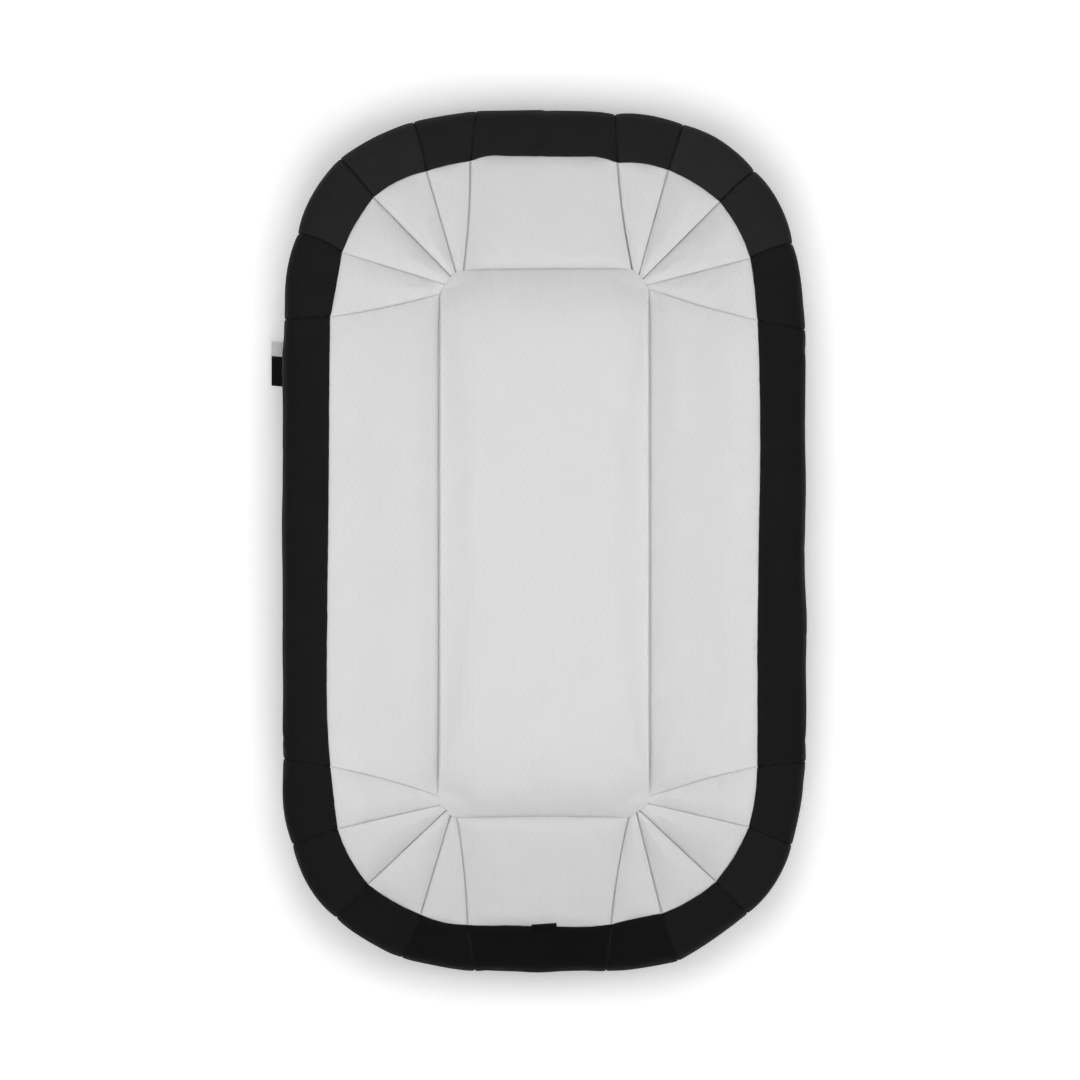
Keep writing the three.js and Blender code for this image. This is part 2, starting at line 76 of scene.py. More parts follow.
# The fan of seams at each corner, as the photograph shows it. For each outline the first row says how far
# round the corner each of its five seams stands, from 0 where the corner leaves the head or foot to 1 where
# it meets the long side. The second row says how many millimetres the edge stands outside the rounded
# rectangle at each seam and half-way between. Bows are the seams' sideways bends over the rim, towards the
# head, in millimetres.
CORNERS = {
    "head_left": {
        "sides": (-1, 1),
        "outer": ((-0.02, 0.20, 0.48, 0.775, 1.075), (-1, -4.5, -3, -1, 3.5, 1.5, -4, -2.5, -1.5)),
        "inner": ((0.035, 0.235, 0.49, 0.765, 1.05), (-6.5, -7.5, -7.5, -2.5, 0.5, -3, -4.5, -7.5, -2)),
        "mat": ((-0.08, 0.18, 0.43, 0.83, 1.15), (-4.5, -5.5, -6, -7, -8, -8, -7.5, -4.5, -1.5)),
        "bows": (0.5, 1.5, 1, 3.5, 0),
    },
    "head_right": {
        "sides": (1, 1),
        "outer": ((-0.01, 0.23, 0.525, 0.81, 1.11), (-4.5, -3, -2.5, 0, -1, -1, -5, -4, 0.5)),
        "inner": ((0.035, 0.26, 0.52, 0.795, 1.065), (-8.5, -5, -3, -1.5, 1, -0.5, -2, -4.5, -2)),
        "mat": ((0.17, 0.445, 0.64, 0.88, 1.005), (-3, -4, -5, -5, -4.5, -4, -3.5, -2, -0.5)),
        "bows": (0.5, 0, 1.5, 2.5, 0),
    },
    "foot_left": {
        "sides": (-1, -1),
        "outer": ((-0.015, 0.24, 0.50, 0.79, 1.085), (0.5, -2.5, 0, 0.5, 3, 4, 1, 0.5, -0.5)),
        "inner": ((0.045, 0.25, 0.505, 0.77, 1.04), (-0.5, 1, 0.5, 2, 5.5, 3, 0.5, -4, -2)),
        "mat": ((0.09, 0.26, 0.42, 0.64, 0.905), (4, 4, 4, 2, 0, 1, 2, 1.5, 1)),
        "bows": (0, 0, 0, 0, 0),
    },
    "foot_right": {
        "sides": (1, -1),
        "outer": ((-0.04, 0.21, 0.50, 0.785, 1.075), (0.5, -2, 0.5, -6, -4, -1, -3, -4, 1)),
        "inner": ((0.005, 0.23, 0.50, 0.775, 1.04), (-1.5, -5.5, -3, -2, 0, -2, -2, -3.5, -2.5)),
        "mat": ((0.035, 0.27, 0.37, 0.675, 0.88), (3.5, 1.5, 0, -0.5, -0.5, 0.5, 1.5, 1, 0.5)),
        "bows": (0, 0, 0, 0, 0),
    },
}

# How many millimetres the middle of each side stands outside the rounded rectangle
SIDE_OFFSETS = {
    "outer": {"left": -0.5, "right": 0, "head": -0.5, "foot": -0.5},
    "inner": {"left": 0.5, "right": -1.5, "head": -1, "foot": 0.5},
    "mat": {"left": -0.5, "right": 0.5, "head": -2.5, "foot": 2},
}
OFFSET_REACH = 0.05

# How many millimetres further out a side's edge stands between its two end seams, at these shares of its way
SWELL_SHARES = (0, 0.1, 0.3, 0.5, 0.7, 0.9, 1)
SIDE_SWELLS = {
    "outer": {
        "right": (0, 0.4, 0.8, -0.2, -0.2, -0.5, 0),
        "head": (0, 0.4, 0.5, 1, 0.5, 0.2, 0),
        "left": (0, 0.5, 0.8, 1.4, 0.5, 0.2, 0),
        "foot": (0, -0.5, 0.5, 2.2, 0.9, -0.2, 0),
    },
    "inner": {
        "right": (0, -0.5, -0.6, 0.8, 2.3, 1.4, 0),
        "head": (0, 3.2, 2.2, 1.1, 2.1, 3.6, 0),
        "left": (0, -0.7, -0.8, 0.3, 1.3, 1.8, 0),
        "foot": (0, 0.4, -0.2, 0.8, 1.8, 1.6, 0),
    },
}
EDGE_SHIFT = {"outer": -0.8, "inner": -1.3, "mat": 0.0}  # millimetres, for the depth of the seams' folds
WALL_BOW = 0.0022
BOW_REACH = 0.06

# How deep each of a corner's five seams is in the pale wall, from the head or foot round to the long side
SEAM_DEPTHS = (1.2, 1.25, 1.1, 0.5, 0.42)

RIPPLE_WAVES = 14


def smooth(x):
    """A soft step from 0 at 0 to 1 at 1."""
    x = np.clip(x, 0, 1)
    return x * x * (3 - 2 * x)


def grown(x, growth):
    """A soft step from 0 to 1 that starts at the growth's first number and takes as long as its second."""
    return smooth((x - growth[0]) / growth[1])


def rise(distance, reach):
    """0 on a seam and 1 beyond the reach of the padding's curve."""
    return np.sin(np.minimum(np.abs(distance) / reach, 1) * QUARTER)


def even(count):
    """A count of even shares from 0 to 1."""
    return np.linspace(0, 1, count)


def unit(vectors):
    return vectors / np.linalg.norm(vectors, axis=-1, keepdims=True)


def joined(*parts):
    """Points or vectors from their parts."""
    return np.stack(np.broadcast_arrays(*parts), -1)


def run_along(points):
    """How far along a line each of its points is."""
    return np.concatenate([[0], np.cumsum(np.linalg.norm(np.diff(points, axis=0), axis=-1))])


def upright(plan, height):
    """Points from places seen from above and the heights there."""
    return np.concatenate([plan, np.broadcast_to(height, plan.shape[:-1])[..., None]], -1)


def ripple(points, wavelength, seed):
    """Smooth noise from about -1 to 1 at points, as a sum of waves in seeded directions."""
    rng = np.random.default_rng(seed)
    total = np.zeros(points.shape[:-1])
    for _ in range(RIPPLE_WAVES):
        direction = rng.normal(size=points.shape[-1])
        direction *= rng.uniform(0.6, 1.5) / np.linalg.norm(direction)
        total += np.sin(points @ direction * TURN / wavelength + rng.uniform(0, TURN))
    return total / math.sqrt(RIPPLE_WAVES)


# Outlines and panels


def curve_through(x, knots, values):
    """A smooth curve through values that stand at the knots."""
    knots, values = np.array(knots, float), np.array(values, float)
    slopes = np.gradient(values, knots)
    number = np.clip(np.searchsorted(knots, x, side="right") - 1, 0, len(knots) - 2)
    step = knots[number + 1] - knots[number]
    t = np.clip((x - knots[number]) / step, 0, 1)
    plain = values[number] * (1 + 2 * t) * (1 - t) ** 2 + values[number + 1] * t * t * (3 - 2 * t)
    return plain + step * t * (1 - t) * (slopes[number] * (1 - t) - slopes[number + 1] * t)


def plain_point(name, share):
    """Points on a rounded rectangle's corner, and the directions out of it there. Shares run on past it."""
    half_width, half_length, radius = OUTLINES[name]
    arc = radius * QUARTER
    angle = np.clip(share, 0, 1) * QUARTER
    normal = joined(np.sin(angle), np.cos(angle))
    along = joined(np.minimum(share, 0) * arc, -np.maximum(share - 1, 0) * arc)
    return np.array([half_width - radius, half_length - radius]) + radius * normal + along, normal


def edge_point(name, corner, share):
    """Points on the measured outline at one corner. Shares run on along the straight sides."""
    shares, offsets = CORNERS[corner][name]
    side_x, side_y = CORNERS[corner]["sides"]
    share, knots, values = np.asarray(share, float), np.array(shares), np.array(offsets, float)
    number = np.clip(np.searchsorted(knots, share, side="right") - 1, 0, 3)
    s = np.clip((share - knots[number]) / (knots[number + 1] - knots[number]), 0, 1)
    start, middle, end = values[2 * number], values[2 * number + 1], values[2 * number + 2]
    offset = start * (1 - s) * (1 - 2 * s) + 4 * middle * s * (1 - s) + end * s * (2 * s - 1)
    for beyond, side in (
        (knots[0] - share, "head" if side_y > 0 else "foot"),
        (share - knots[-1], "right" if side_x > 0 else "left"),
    ):
        away = np.exp(-np.maximum(beyond, 0) * OUTLINES[name][2] * QUARTER / OFFSET_REACH)
        offset = SIDE_OFFSETS[name][side] + (offset - SIDE_OFFSETS[name][side]) * away
    offset = offset + EDGE_SHIFT[name]
    plain, normal = plain_point(name, share)
    return (plain + normal * offset[..., None] * MM) * np.array([side_x, side_y])


def edge_length(place, outline):
    """The straight distance between a panel's two end seams."""
    start, end = place(outline, np.array([0.0, 1.0]))
    return np.linalg.norm(end - start)


def gusset_panel(corner, number):
    """One of the four panels of a corner's fan, running anticlockwise as seen from above."""
    side_x, side_y = CORNERS[corner]["sides"]
    sense = 1 if side_x != side_y else -1
    first, last = (number, number + 1) if sense > 0 else (number + 1, number)
    wall_bows = [WALL_BOW * {0: -sense, 4: sense}.get(seam, 0) for seam in (first, last)]
    rim_bows = [side_x * CORNERS[corner]["bows"][seam] * MM for seam in (first, last)]

    def place(name, s):
        shares = CORNERS[corner][name][0]
        return edge_point(name, corner, shares[first] + (shares[last] - shares[first]) * s)

    def bow(s, kind):
        start, end = rim_bows if kind == "rim" else wall_bows
        return start * (1 - s) + end * s

    depths = (SEAM_DEPTHS[first], SEAM_DEPTHS[last])
    name = f"gusset_{corner}_{number + 1}"
    return {"name": name, "place": place, "bow": bow, "side": None, "depths": depths}


def side_panel(name, *corners):
    """A panel along one side, running anticlockwise from one corner's last seam to the next one's first."""
    axis, knot = (1, -1) if name in ("left", "right") else (0, 0)
    outward = np.zeros(2)
    outward[1 - axis] = 1 if name in ("right", "head") else -1

    def place(outline, s):
        seams = (edge_point(outline, corner, CORNERS[corner][outline][0][knot]) for corner in corners)
        start, end = (seam[axis] for seam in seams)
        along = start + (end - start) * np.asarray(s, float)
        radius = OUTLINES[outline][2]
        beyond = (OUTLINES[outline][axis] - radius - np.abs(along)) / (radius * QUARTER)
        share = 1 + beyond if axis == 1 else -beyond
        near_start = (along * start > 0)[..., None]
        points = np.where(near_start, *(edge_point(outline, corner, share) for corner in corners))
        if outline in SIDE_SWELLS:
            swell = curve_through(s, SWELL_SHARES, SIDE_SWELLS[outline][name])
            points = points + outward * swell[..., None] * MM
        return points

    length = edge_length(place, "inner")

    def bow(s, kind):
        if kind == "rim":
            return np.zeros_like(s)
        return WALL_BOW * (np.exp(-s * length / BOW_REACH) - np.exp(-(1 - s) * length / BOW_REACH))

    depths = (SEAM_DEPTHS[knot],) * 2
    return {"name": f"cover_{name}", "place": place, "bow": bow, "side": name, "depths": depths}


# The way round the lounger: each side, the corner before it and the corner after it
ROUND = (
    ("right", "foot_right", "head_right"),
    ("head", "head_right", "head_left"),
    ("left", "head_left", "foot_left"),
    ("foot", "foot_left", "foot_right"),
)
GUSSETS = 4
PANELS = []
for side, before, after in ROUND:
    fan = range(GUSSETS) if side in ("head", "foot") else reversed(range(GUSSETS))
    PANELS.append(side_panel(side, before, after))
    PANELS.extend(gusset_panel(after, number) for number in fan)


def plan_grid(panel, kind, s, t):
    """Places seen from above at shares s along and t across a panel, and how far they are from its ends."""
    across = t[None, :, None]
    start, end = (panel["place"](outline, s)[:, None] for outline in BETWEEN[kind])
    points = start + (end - start) * across
    first, last = (panel["place"](outline, np.array([0.0, 1.0]))[:, None] for outline in BETWEEN[kind])
    edges = first + (last - first) * across
    chord = edges[1] - edges[0]
    width = np.linalg.norm(chord, axis=-1)
    bend = panel["bow"](s, kind)[:, None] * np.sin(math.pi * t)
    points = points + bend[..., None] * (chord / width[:, None])
    return points, np.minimum(s, 1 - s)[:, None] * width


def middle_of(panel, outline):
    return panel["place"](outline, np.array([0.5]))[0]


# Surfaces before the cloth is filled

WALL_PUFF = 0.0072
PUFF_REACH = 0.028
SIDE_PUFF_REACH = 0.04  # below the rim along the sides
END_PUFF_REACH = 0.014  # below the rim at the head and foot
END_SEAM_REACH = 0.016  # above the mat at the head and foot
STEEPENING = (0.3, 0.48)  # how much a wall steepens towards the rim along the sides, and more at the ends
RIM_DRAW = 0.0003
RIM_DRAW_REACH = 0.02
ROLL_END, SHOULDER_END = 0.15, 0.72  # shares of the way over the rim
SHOULDER_POWER = 0.45  # 1 is a round shoulder and less is a squarer one

# The direction in which both panels of a seam are folded in, as degrees up from straight out
FOLD_ANGLES = {"wall": (90, 150), "rim": (150, 0)}
FOLD_REACH = 0.004

# The mat's top: a lip next to its seam, a crown behind it, and a slight rise to the middle line
LIP_HEIGHT = 0.008
LIP_REACH = 0.0014
LIP_END_REACH = {"head": 0.05, "foot": 0.032}
CROWN_HEIGHT = 0.009
CROWN_REACHES = (0.05, 0.10)
MIDDLE_HEIGHT = 0.003

# Where the fans of seams meet the mat, seen from above, how far round it the mat's seam lies flat, and over
# what lengths the seam and the lip then grow
FAN_PLACE = (0.112, 0.307)
FAN_RADIUS = 0.012
FAN_SEAM_REACH = 0.020
FAN_LIP_REACH = 0.03


def section_normals(kind, points, run):
    """Normals that lie in each upright section, so that both panels of a seam are folded in alike."""
    across = np.gradient(points, axis=1)
    far = points.shape[1] // 2 if kind == "rim" else -1
    outward = unit(points[:, far, :2] - points[:, 0, :2])[:, None]
    angle = np.arctan2((across[..., :2] * outward).sum(-1), -across[..., 2])
    for fold, away in zip(FOLD_ANGLES[kind], (run, run[:, -1:] - run)):
        angle = angle + (math.radians(fold) - angle) * np.exp(-away / FOLD_REACH)
    return upright(np.cos(angle)[..., None] * outward, np.sin(angle))


def end_on(plan):
    """1 where a wall runs up towards the head or foot and 0 where it runs up to a side."""
    reach = plan[:, -1] - plan[:, 0]
    return (reach[:, 1] ** 2 / (reach**2).sum(-1))[:, None]


def wall_height(plan, t):
    steepening = STEEPENING[0] + STEEPENING[1] * end_on(plan)
    slope = (1 - steepening) * t + steepening * t * t
    return MAT_SEAM_HEIGHT + (RIM_SEAM_HEIGHT - MAT_SEAM_HEIGHT) * slope


def wall_surface(panel, s, t):
    """The wall from the mat seam (t 0) to the rim seam (t 1)."""
    plan, inset = plan_grid(panel, "wall", s, t)
    width = np.linalg.norm(plan[:, -1] - plan[:, 0], axis=-1)[:, None]
    run, from_rim = t * width, (1 - t) * width
    rim_reach = SIDE_PUFF_REACH + (END_PUFF_REACH - SIDE_PUFF_REACH) * end_on(plan)
    mat_reach = PUFF_REACH + (END_SEAM_REACH - PUFF_REACH) * end_on(plan)
    points = upright(plan, wall_height(plan, t))
    normal = section_normals("wall", points, run)
    points[..., 2] += WALL_PUFF * rise(inset, PUFF_REACH) * rise(run, mat_reach) * rise(from_rim, rim_reach)
    return points, normal, inset, np.minimum(t, 1 - t) * width, run


def rim_profile(t, low_edge, depth=0.0):
    """Distance out from the rim seam, and height, at shares of the way over the rim to the edge seam."""
    roll = np.clip(t / ROLL_END, 0, 1) * QUARTER
    shoulder = np.clip((t - ROLL_END) / (SHOULDER_END - ROLL_END), 0, 1) * QUARTER
    side = np.clip((t - SHOULDER_END) / (1 - SHOULDER_END), 0, 1)
    widest = RIM_WIDTH - depth
    crest = CREST_HEIGHT - depth
    out = CREST_OUT * (1 - np.cos(roll))
    height = RIM_SEAM_HEIGHT - depth + (CREST_HEIGHT - RIM_SEAM_HEIGHT) * np.sin(roll)
    over = t > ROLL_END
    out = np.where(over, CREST_OUT + (widest - CREST_OUT) * np.sin(shoulder) ** SHOULDER_POWER, out)
    round_height = WIDEST_HEIGHT + (crest - WIDEST_HEIGHT) * np.cos(shoulder) ** SHOULDER_POWER
    height = np.where(over, round_height, height)
    down = t > SHOULDER_END
    out = np.where(down, widest - EDGE_TUCK * side**2, out)
    height = np.where(down, WIDEST_HEIGHT + (low_edge - WIDEST_HEIGHT) * side, height)
    return out, height


def low_edge_of(panel):
    return EDGE_SEAM_HEIGHT + (ZIP_BAND if panel["side"] == "right" else 0)


def rim_surface(panel, s, t):
    """The rim from the wall's seam (t 0) over the crest to the edge seam (t 1)."""
    out, height = rim_profile(t, low_edge_of(panel))
    plan, inset = plan_grid(panel, "rim", s, out / RIM_WIDTH)
    points = upright(plan, height)
    run = run_along(joined(out, height))
    ends = np.broadcast_to(np.minimum(run, run[-1] - run), inset.shape)
    run = np.broadcast_to(run, inset.shape)
    normal = section_normals("rim", points, run)
    draw = RIM_DRAW * (1 - rise(inset, RIM_DRAW_REACH)) * np.sqrt(np.clip(np.sin(math.pi * t), 0, 1))
    return points - normal * draw[..., None], normal, inset, ends, run


def fan_distance(points):
    """How far points are, as seen from above, from where a corner's fan of seams meets."""
    return np.hypot(np.abs(points[..., 0]) - FAN_PLACE[0], np.abs(points[..., 1]) - FAN_PLACE[1])


def mat_surface(u, v):
    """The mat's crowned top on a grid of shares across (u) and along (v)."""
    half_width, half_length, radius = OUTLINES["mat"]
    x, y = np.meshgrid((2 * u - 1) * half_width, (2 * v - 1) * half_length, indexing="ij")
    box_x, box_y = half_width - radius, half_length - radius
    a = np.clip((np.abs(x) - box_x) / radius, 0, 1)
    b = np.clip((np.abs(y) - box_y) / radius, 0, 1)
    in_corner = (a > 0) & (b > 0)
    x = np.where(in_corner, np.sign(x) * (box_x + radius * a * np.sqrt(1 - b * b / 2)), x)
    y = np.where(in_corner, np.sign(y) * (box_y + radius * b * np.sqrt(1 - a * a / 2)), y)
    gap_x, gap_y = np.abs(x) - box_x, np.abs(y) - box_y
    corner_inset = radius - np.hypot(np.maximum(gap_x, 0), np.maximum(gap_y, 0))
    from_side, from_end = half_width - np.abs(x), half_length - np.abs(y)
    inset = np.where(in_corner, corner_inset, np.minimum(from_side, from_end))
    arc = radius * QUARTER
    round_share = np.arctan2(np.maximum(gap_x, 1e-9), np.maximum(gap_y, 1e-9)) / QUARTER
    shift = np.zeros(x.shape + (2,))
    for corner, data in CORNERS.items():
        side_x, side_y = data["sides"]
        here = (x * side_x >= 0) & (y * side_y >= 0)
        for share, depth, used in (
            (round_share, corner_inset, in_corner),
            (1 - gap_y / arc, from_side, ~in_corner & (gap_x > 0)),
            (gap_x / arc, from_end, ~in_corner & (gap_y > 0)),
        ):
            chosen = here & used
            plain = np.array([side_x, side_y]) * plain_point("mat", share[chosen])[0]
            moved = edge_point("mat", corner, share[chosen]) - plain
            fade = np.clip(1 - depth[chosen] / radius, 0, 1) ** 1.5
            shift[chosen] += moved * fade[:, None]
    end_reach = np.where(y < 0, LIP_END_REACH["foot"], LIP_END_REACH["head"])
    lip = LIP_HEIGHT * rise(from_side, LIP_REACH) * rise(from_end, end_reach) * rise(inset, LIP_REACH)
    lip = lip * grown(fan_distance(joined(x, y)), (FAN_RADIUS, FAN_LIP_REACH))
    crown = CROWN_HEIGHT * rise(from_side, CROWN_REACHES[0]) * rise(from_end, CROWN_REACHES[1])
    middle = MIDDLE_HEIGHT * from_side / half_width * rise(from_end, CROWN_REACHES[1])
    points = joined(x + shift[..., 0], y + shift[..., 1], MAT_SEAM_HEIGHT + lip + crown + middle)
    return points, np.zeros_like(points) + (0, 0, 1), inset, inset, y


# Cloth

RIM_SPAN = 0.122  # from the rim seam over the crest to the edge seam
SIM_STEP = 0.006
SIM_FRAMES = 20
SIM_SETTINGS = {
    "quality": 5,
    "mass": 0.3,
    "tension_stiffness": 12,
    "compression_stiffness": 12,
    "shear_stiffness": 4,
    "bending_stiffness": 0.6,
    "air_damping": 2,
    "vertex_group_mass": "pins",
    "use_pressure": True,
    "uniform_pressure_force": 4,
    "shrink_min": -0.004,
}
SWELL_LIMIT = {"mat": 0.003, "wall": 0.0025, "rim": 0.0007}


def patch_list():
    """Every padded panel: its kind, name and panel, and its length along and across."""
    patches = [("mat", "mat", None, 2 * OUTLINES["mat"][0], 2 * OUTLINES["mat"][1])]
    for panel in PANELS:
        span = np.linalg.norm(middle_of(panel, "inner") - middle_of(panel, "mat"))
        length, outer_length = (edge_length(panel["place"], outline) for outline in BETWEEN["rim"])
        patches.append(("wall", f"wall_{panel['name']}", panel, length, span))
        patches.append(("rim", f"rim_{panel['name']}", panel, outer_length, RIM_SPAN))
    return patches


def surface_of(kind, panel, s, t):
    """Points, normals, distances to the nearer end seam and long seam, and the run across, on one panel."""
    if kind == "mat":
        return mat_surface(s, t)
    return wall_surface(panel, s, t) if kind == "wall" else rim_surface(panel, s, t)


def grid_faces(rows, columns, offset=0):
    index = np.arange(rows * columns).reshape(rows, columns) + offset
    a, b, c, d = index[:-1, :-1], index[:-1, 1:], index[1:, 1:], index[1:, :-1]
    return joined(a, b, c, d).reshape(-1, 4)


def placed(name, data, location=(0, 0, 0)):
    """A new object in the scene."""
    item = bpy.data.objects.new(name, data)
    item.location = location
    bpy.context.scene.collection.objects.link(item)
    return item


def plain_mesh(name, points, faces):
    mesh = bpy.data.meshes.new(name)
    mesh.from_pydata(np.array(points).tolist(), [], [list(face) for face in faces])
    return mesh


def fill_with_cloth(patches):
    """How far the cloth of each panel swells from its plain surface, on an even grid."""
    grids, faces, pinned, count = [], [], [], 0
    for kind, _, panel, length, span in patches:
        rows, columns = (max(9, round(size / SIM_STEP) + 1) for size in (length, span))
        grids.append(surface_of(kind, panel, even(rows), even(columns))[0])
        quads = grid_faces(rows, columns, count)
        faces.append(quads[:, ::-1] if kind == "mat" else quads)
        edge = np.ones((rows, columns), bool)
        edge[1:-1, 1:-1] = False
        pinned.append(edge.ravel())
        count += rows * columns
    rest = np.concatenate([points.reshape(-1, 3) for points in grids])
    form = placed("cloth_form", plain_mesh("cloth_form", rest, np.concatenate(faces)))
    pins = form.vertex_groups.new(name="pins")
    pins.add(np.flatnonzero(np.concatenate(pinned)).tolist(), 1.0, "REPLACE")
    cloth = form.modifiers.new("Cloth", "CLOTH")
    for key, value in SIM_SETTINGS.items():
        setattr(cloth.settings, key, value)
    cloth.settings.effector_weights.gravity = 0
    cloth.collision_settings.use_collision = False
    cloth.point_cache.frame_start = 1
    cloth.point_cache.frame_end = SIM_FRAMES
    for number in range(1, SIM_FRAMES + 1):
        bpy.context.scene.frame_set(number)
    filled = form.evaluated_get(bpy.context.evaluated_depsgraph_get())
    moved = np.zeros(len(rest) * 3)
    filled.data.vertices.foreach_get("co", moved)
    moved = moved.reshape(-1, 3) - rest
    bpy.context.scene.frame_set(1)
    bpy.data.objects.remove(form)
    swell, start = [], 0
    for (kind, *_), points in zip(patches, grids):
        after = start + points[..., 0].size
        part = moved[start:after].reshape(points.shape)
        start = after
        size = np.linalg.norm(part, axis=-1, keepdims=True)
        limit = SWELL_LIMIT[kind]
        swell.append(part * (limit * np.tanh(size / limit) / np.maximum(size, 1e-9)))
    return swell


def resample(grid, s, t):
    """Values of an even grid at shares s and t."""
    rows, columns = grid.shape[:2]
    i, j = np.clip(s, 0, 1) * (rows - 1), np.clip(t, 0, 1) * (columns - 1)
    i0 = np.minimum(i.astype(int), rows - 2)
    j0 = np.minimum(j.astype(int), columns - 2)
    fi, fj = (i - i0)[:, None, None], (j - j0)[None, :, None]
    low = grid[i0][:, j0] * (1 - fj) + grid[i0][:, j0 + 1] * fj
    high = grid[i0 + 1][:, j0] * (1 - fj) + grid[i0 + 1][:, j0 + 1] * fj
    return low * (1 - fi) + high * fi


# Meshes

# Rows of a panel's mesh stand at these distances from a seam, and then at even steps
SEAM_ROWS = (-SEAM_LAP, 0.0001, 0.0005, 0.0010, 0.0018, 0.0032, 0.005)
MESH_ROWS = {
    "mat": SEAM_ROWS + tuple(SEAM_ROWS[-1] + 0.0022 * (i + 1) for i in range(11)),
    "wall": SEAM_ROWS,
    "rim": (-SEAM_LAP, 0.0003, 0.0006, 0.0010, 0.0013, 0.0017, 0.0025, 0.0036, 0.005),
}
FINE_STEP = {"mat": 0.0042, "wall": 0.0042, "rim": 0.0032}


def fine_shares(kind, length):
    """Shares along a length, close together near its two seams, and a little beyond them."""
    ends = np.array(MESH_ROWS[kind])
    inner = length - 2 * ends[-1]
    steps = max(3, round(inner / FINE_STEP[kind]))
    middle = ends[-1] + inner * np.arange(1, steps) / steps
    return np.concatenate([ends, middle, length - ends[::-1]]) / length


def make_mesh(name, points, faces, uv=None, tone=1.0, shade=1.0):
    """A smooth mesh. Layer "cloth" holds places on the cloth, and "painted_sheen_and_shade" the panel's
    painted sheen and its seams' painted shade.
    """
    points = np.reshape(points, (-1, 3))
    mesh = plain_mesh(name, points, faces)
    mesh.polygons.foreach_set("use_smooth", [True] * len(mesh.polygons))
    if uv is not None:
        corner = np.zeros(len(mesh.loops), int)
        mesh.loops.foreach_get("vertex_index", corner)
        painted_sheen_and_shade = joined(tone, np.ravel(shade) + np.zeros(len(points)))
        for layer, values in (("cloth", np.reshape(uv, (-1, 2))), ("painted_sheen_and_shade", painted_sheen_and_shade)):
            mesh.uv_layers.new(name=layer).data.foreach_set("uv", values[corner].ravel())
    mesh.validate()
    return placed(name, mesh)


def finish_piece(piece, slot, body="lounger", node=None):
    """Gives a piece its material and body. It stands for a node of the CAD where one is named."""
    piece.data.materials.append(MATERIALS[slot])
    if node:
        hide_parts(node)
    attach(piece, body)


def closed_faces(rows, columns, flip):
    """The faces of a closed body with a top grid, a grid below it and the edge between."""
    count = rows * columns
    index = np.arange(count).reshape(rows, columns)
    loop = np.concatenate([index[:, 0], index[-1, 1:], index[-2::-1, -1], index[0, -2:0:-1]])
    after = np.roll(loop, -1)
    edge = joined(after, after + count, loop + count, loop)
    faces = np.concatenate([grid_faces(rows, columns), grid_faces(rows, columns, count)[:, ::-1], edge])
    return faces[:, ::-1] if flip else faces


def tube_faces(rings, sides):
    """The faces of a closed body through rings of equally many points."""
    index = np.arange(rings * sides).reshape(rings, sides)
    here, after = index[:-1], index[1:]
    quads = joined(here, np.roll(here, -1, 1), np.roll(after, -1, 1), after).reshape(-1, 4)
    return quads.tolist() + [index[0][::-1].tolist(), index[-1].tolist()]


def repeated_faces(faces, count, size):
    """The faces of many like bodies, each with so many points."""
    return [[corner + size * number for corner in face] for number in range(count) for face in faces]


# Padded panels

# Each seam is a narrow deep fold in a wide shallow dip: depth and width of the fold, then of the dip
SEAM_FOLDS = {
    "mat": (0.0022, 0.0005, 0.0003, 0.0030),
    "wall": (0.0034, 0.00048, 0.0005, 0.0035),
    "rim": (0.0050, 0.0013, 0.0003, 0.0030),
}
LONG_SEAM_SHARES = {"wall": 0.5, "rim": 0.25}  # how deep the seams along the rim are, as a share
# The mat's seam: its least share of the depth, how much shallower it is at the ends, and where that starts
MAT_SEAM_LEAST, MAT_SEAM_LOSS, MAT_END = 0.05, 0.55, (0.300, 0.010)
# The seams over the rim: shallow up to the inner distance from the wall, and shallower beyond the outer one
RIM_SEAM_LEAST, RIM_SEAM_INNER = 0.15, (0.002, 0.010)
RIM_SEAM_LOSS, RIM_SEAM_OUTER = 0.7, (0.035, 0.03)
# Puckers of the cloth next to its seams: height on each panel, wavelength, reach and seed
PUCKER = {"mat": 0.0001, "wall": 0.00015, "rim": 0.00018}
PUCKER_WAVE, PUCKER_REACH, PUCKER_SEED = 0.014, 0.009, 11
# Soft unevenness of the padding: height and wavelength on each panel, reach and seed
WAVES = {"mat": (0.0005, 0.13), "wall": (0.0009, 0.08), "rim": (0.0006, 0.10)}
WAVE_REACH, WAVE_SEED = 0.03, 7
SLOTS = {"mat": "pale_mesh", "wall": "pale_mesh", "rim": "dark_knit"}
RIDGE_SHARE = 0.6  # height of the ridge beside a crease, as a share of the crease's depth
RIDGE_AWAY = 1.7  # its distance, in widths of the crease

# Creases in the cloth: start and end seen from above, depth and width, all in millimetres. The walls' are
# small gathers where the fans of seams meet the mat's corners.
CREASES = {
    "mat": (),
    "wall": (
        ((130, 291), (134.5, 273), 0.7, 1.6),
        ((136, 290), (141, 276), 0.5, 1.5),
        ((-130, 291), (-137, 274), 0.6, 1.6),
        ((-124, 314), (-139, 312), 0.5, 1.5),
        ((-128, -301), (-141, -288), 0.7, 1.6),
        ((-121, -309), (-127, -322), 0.5, 1.5),
        ((127, -303), (143, -290), 0.7, 1.6),
        ((118, -313), (122, -330), 0.5, 1.5),
    ),
    "rim": (
        ((-275, -247), (-251, -259.5), 0.9, 2.2),
        ((-264, -245), (-251, -252), 0.6, 2.0),
        ((-261, -321), (-244, -329), 0.8, 2.0),
        ((-264, -327), (-250, -331), 0.6, 2.0),
        ((251, -275), (299, -267.5), 0.6, 2.0),
        ((251, -278.5), (277, -280), 0.5, 1.8),
        ((262, -268), (296, -264.5), 0.5, 1.8),
        ((-173, -484), (-158, -463), 0.7, 2.0),
        ((-181, -471), (-166, -476), 0.6, 2.0),
        ((251, -55.5), (300, -60.5), 0.8, 2.2),
        ((250, 262), (300, 253), 0.6, 2.0),
    ),
}

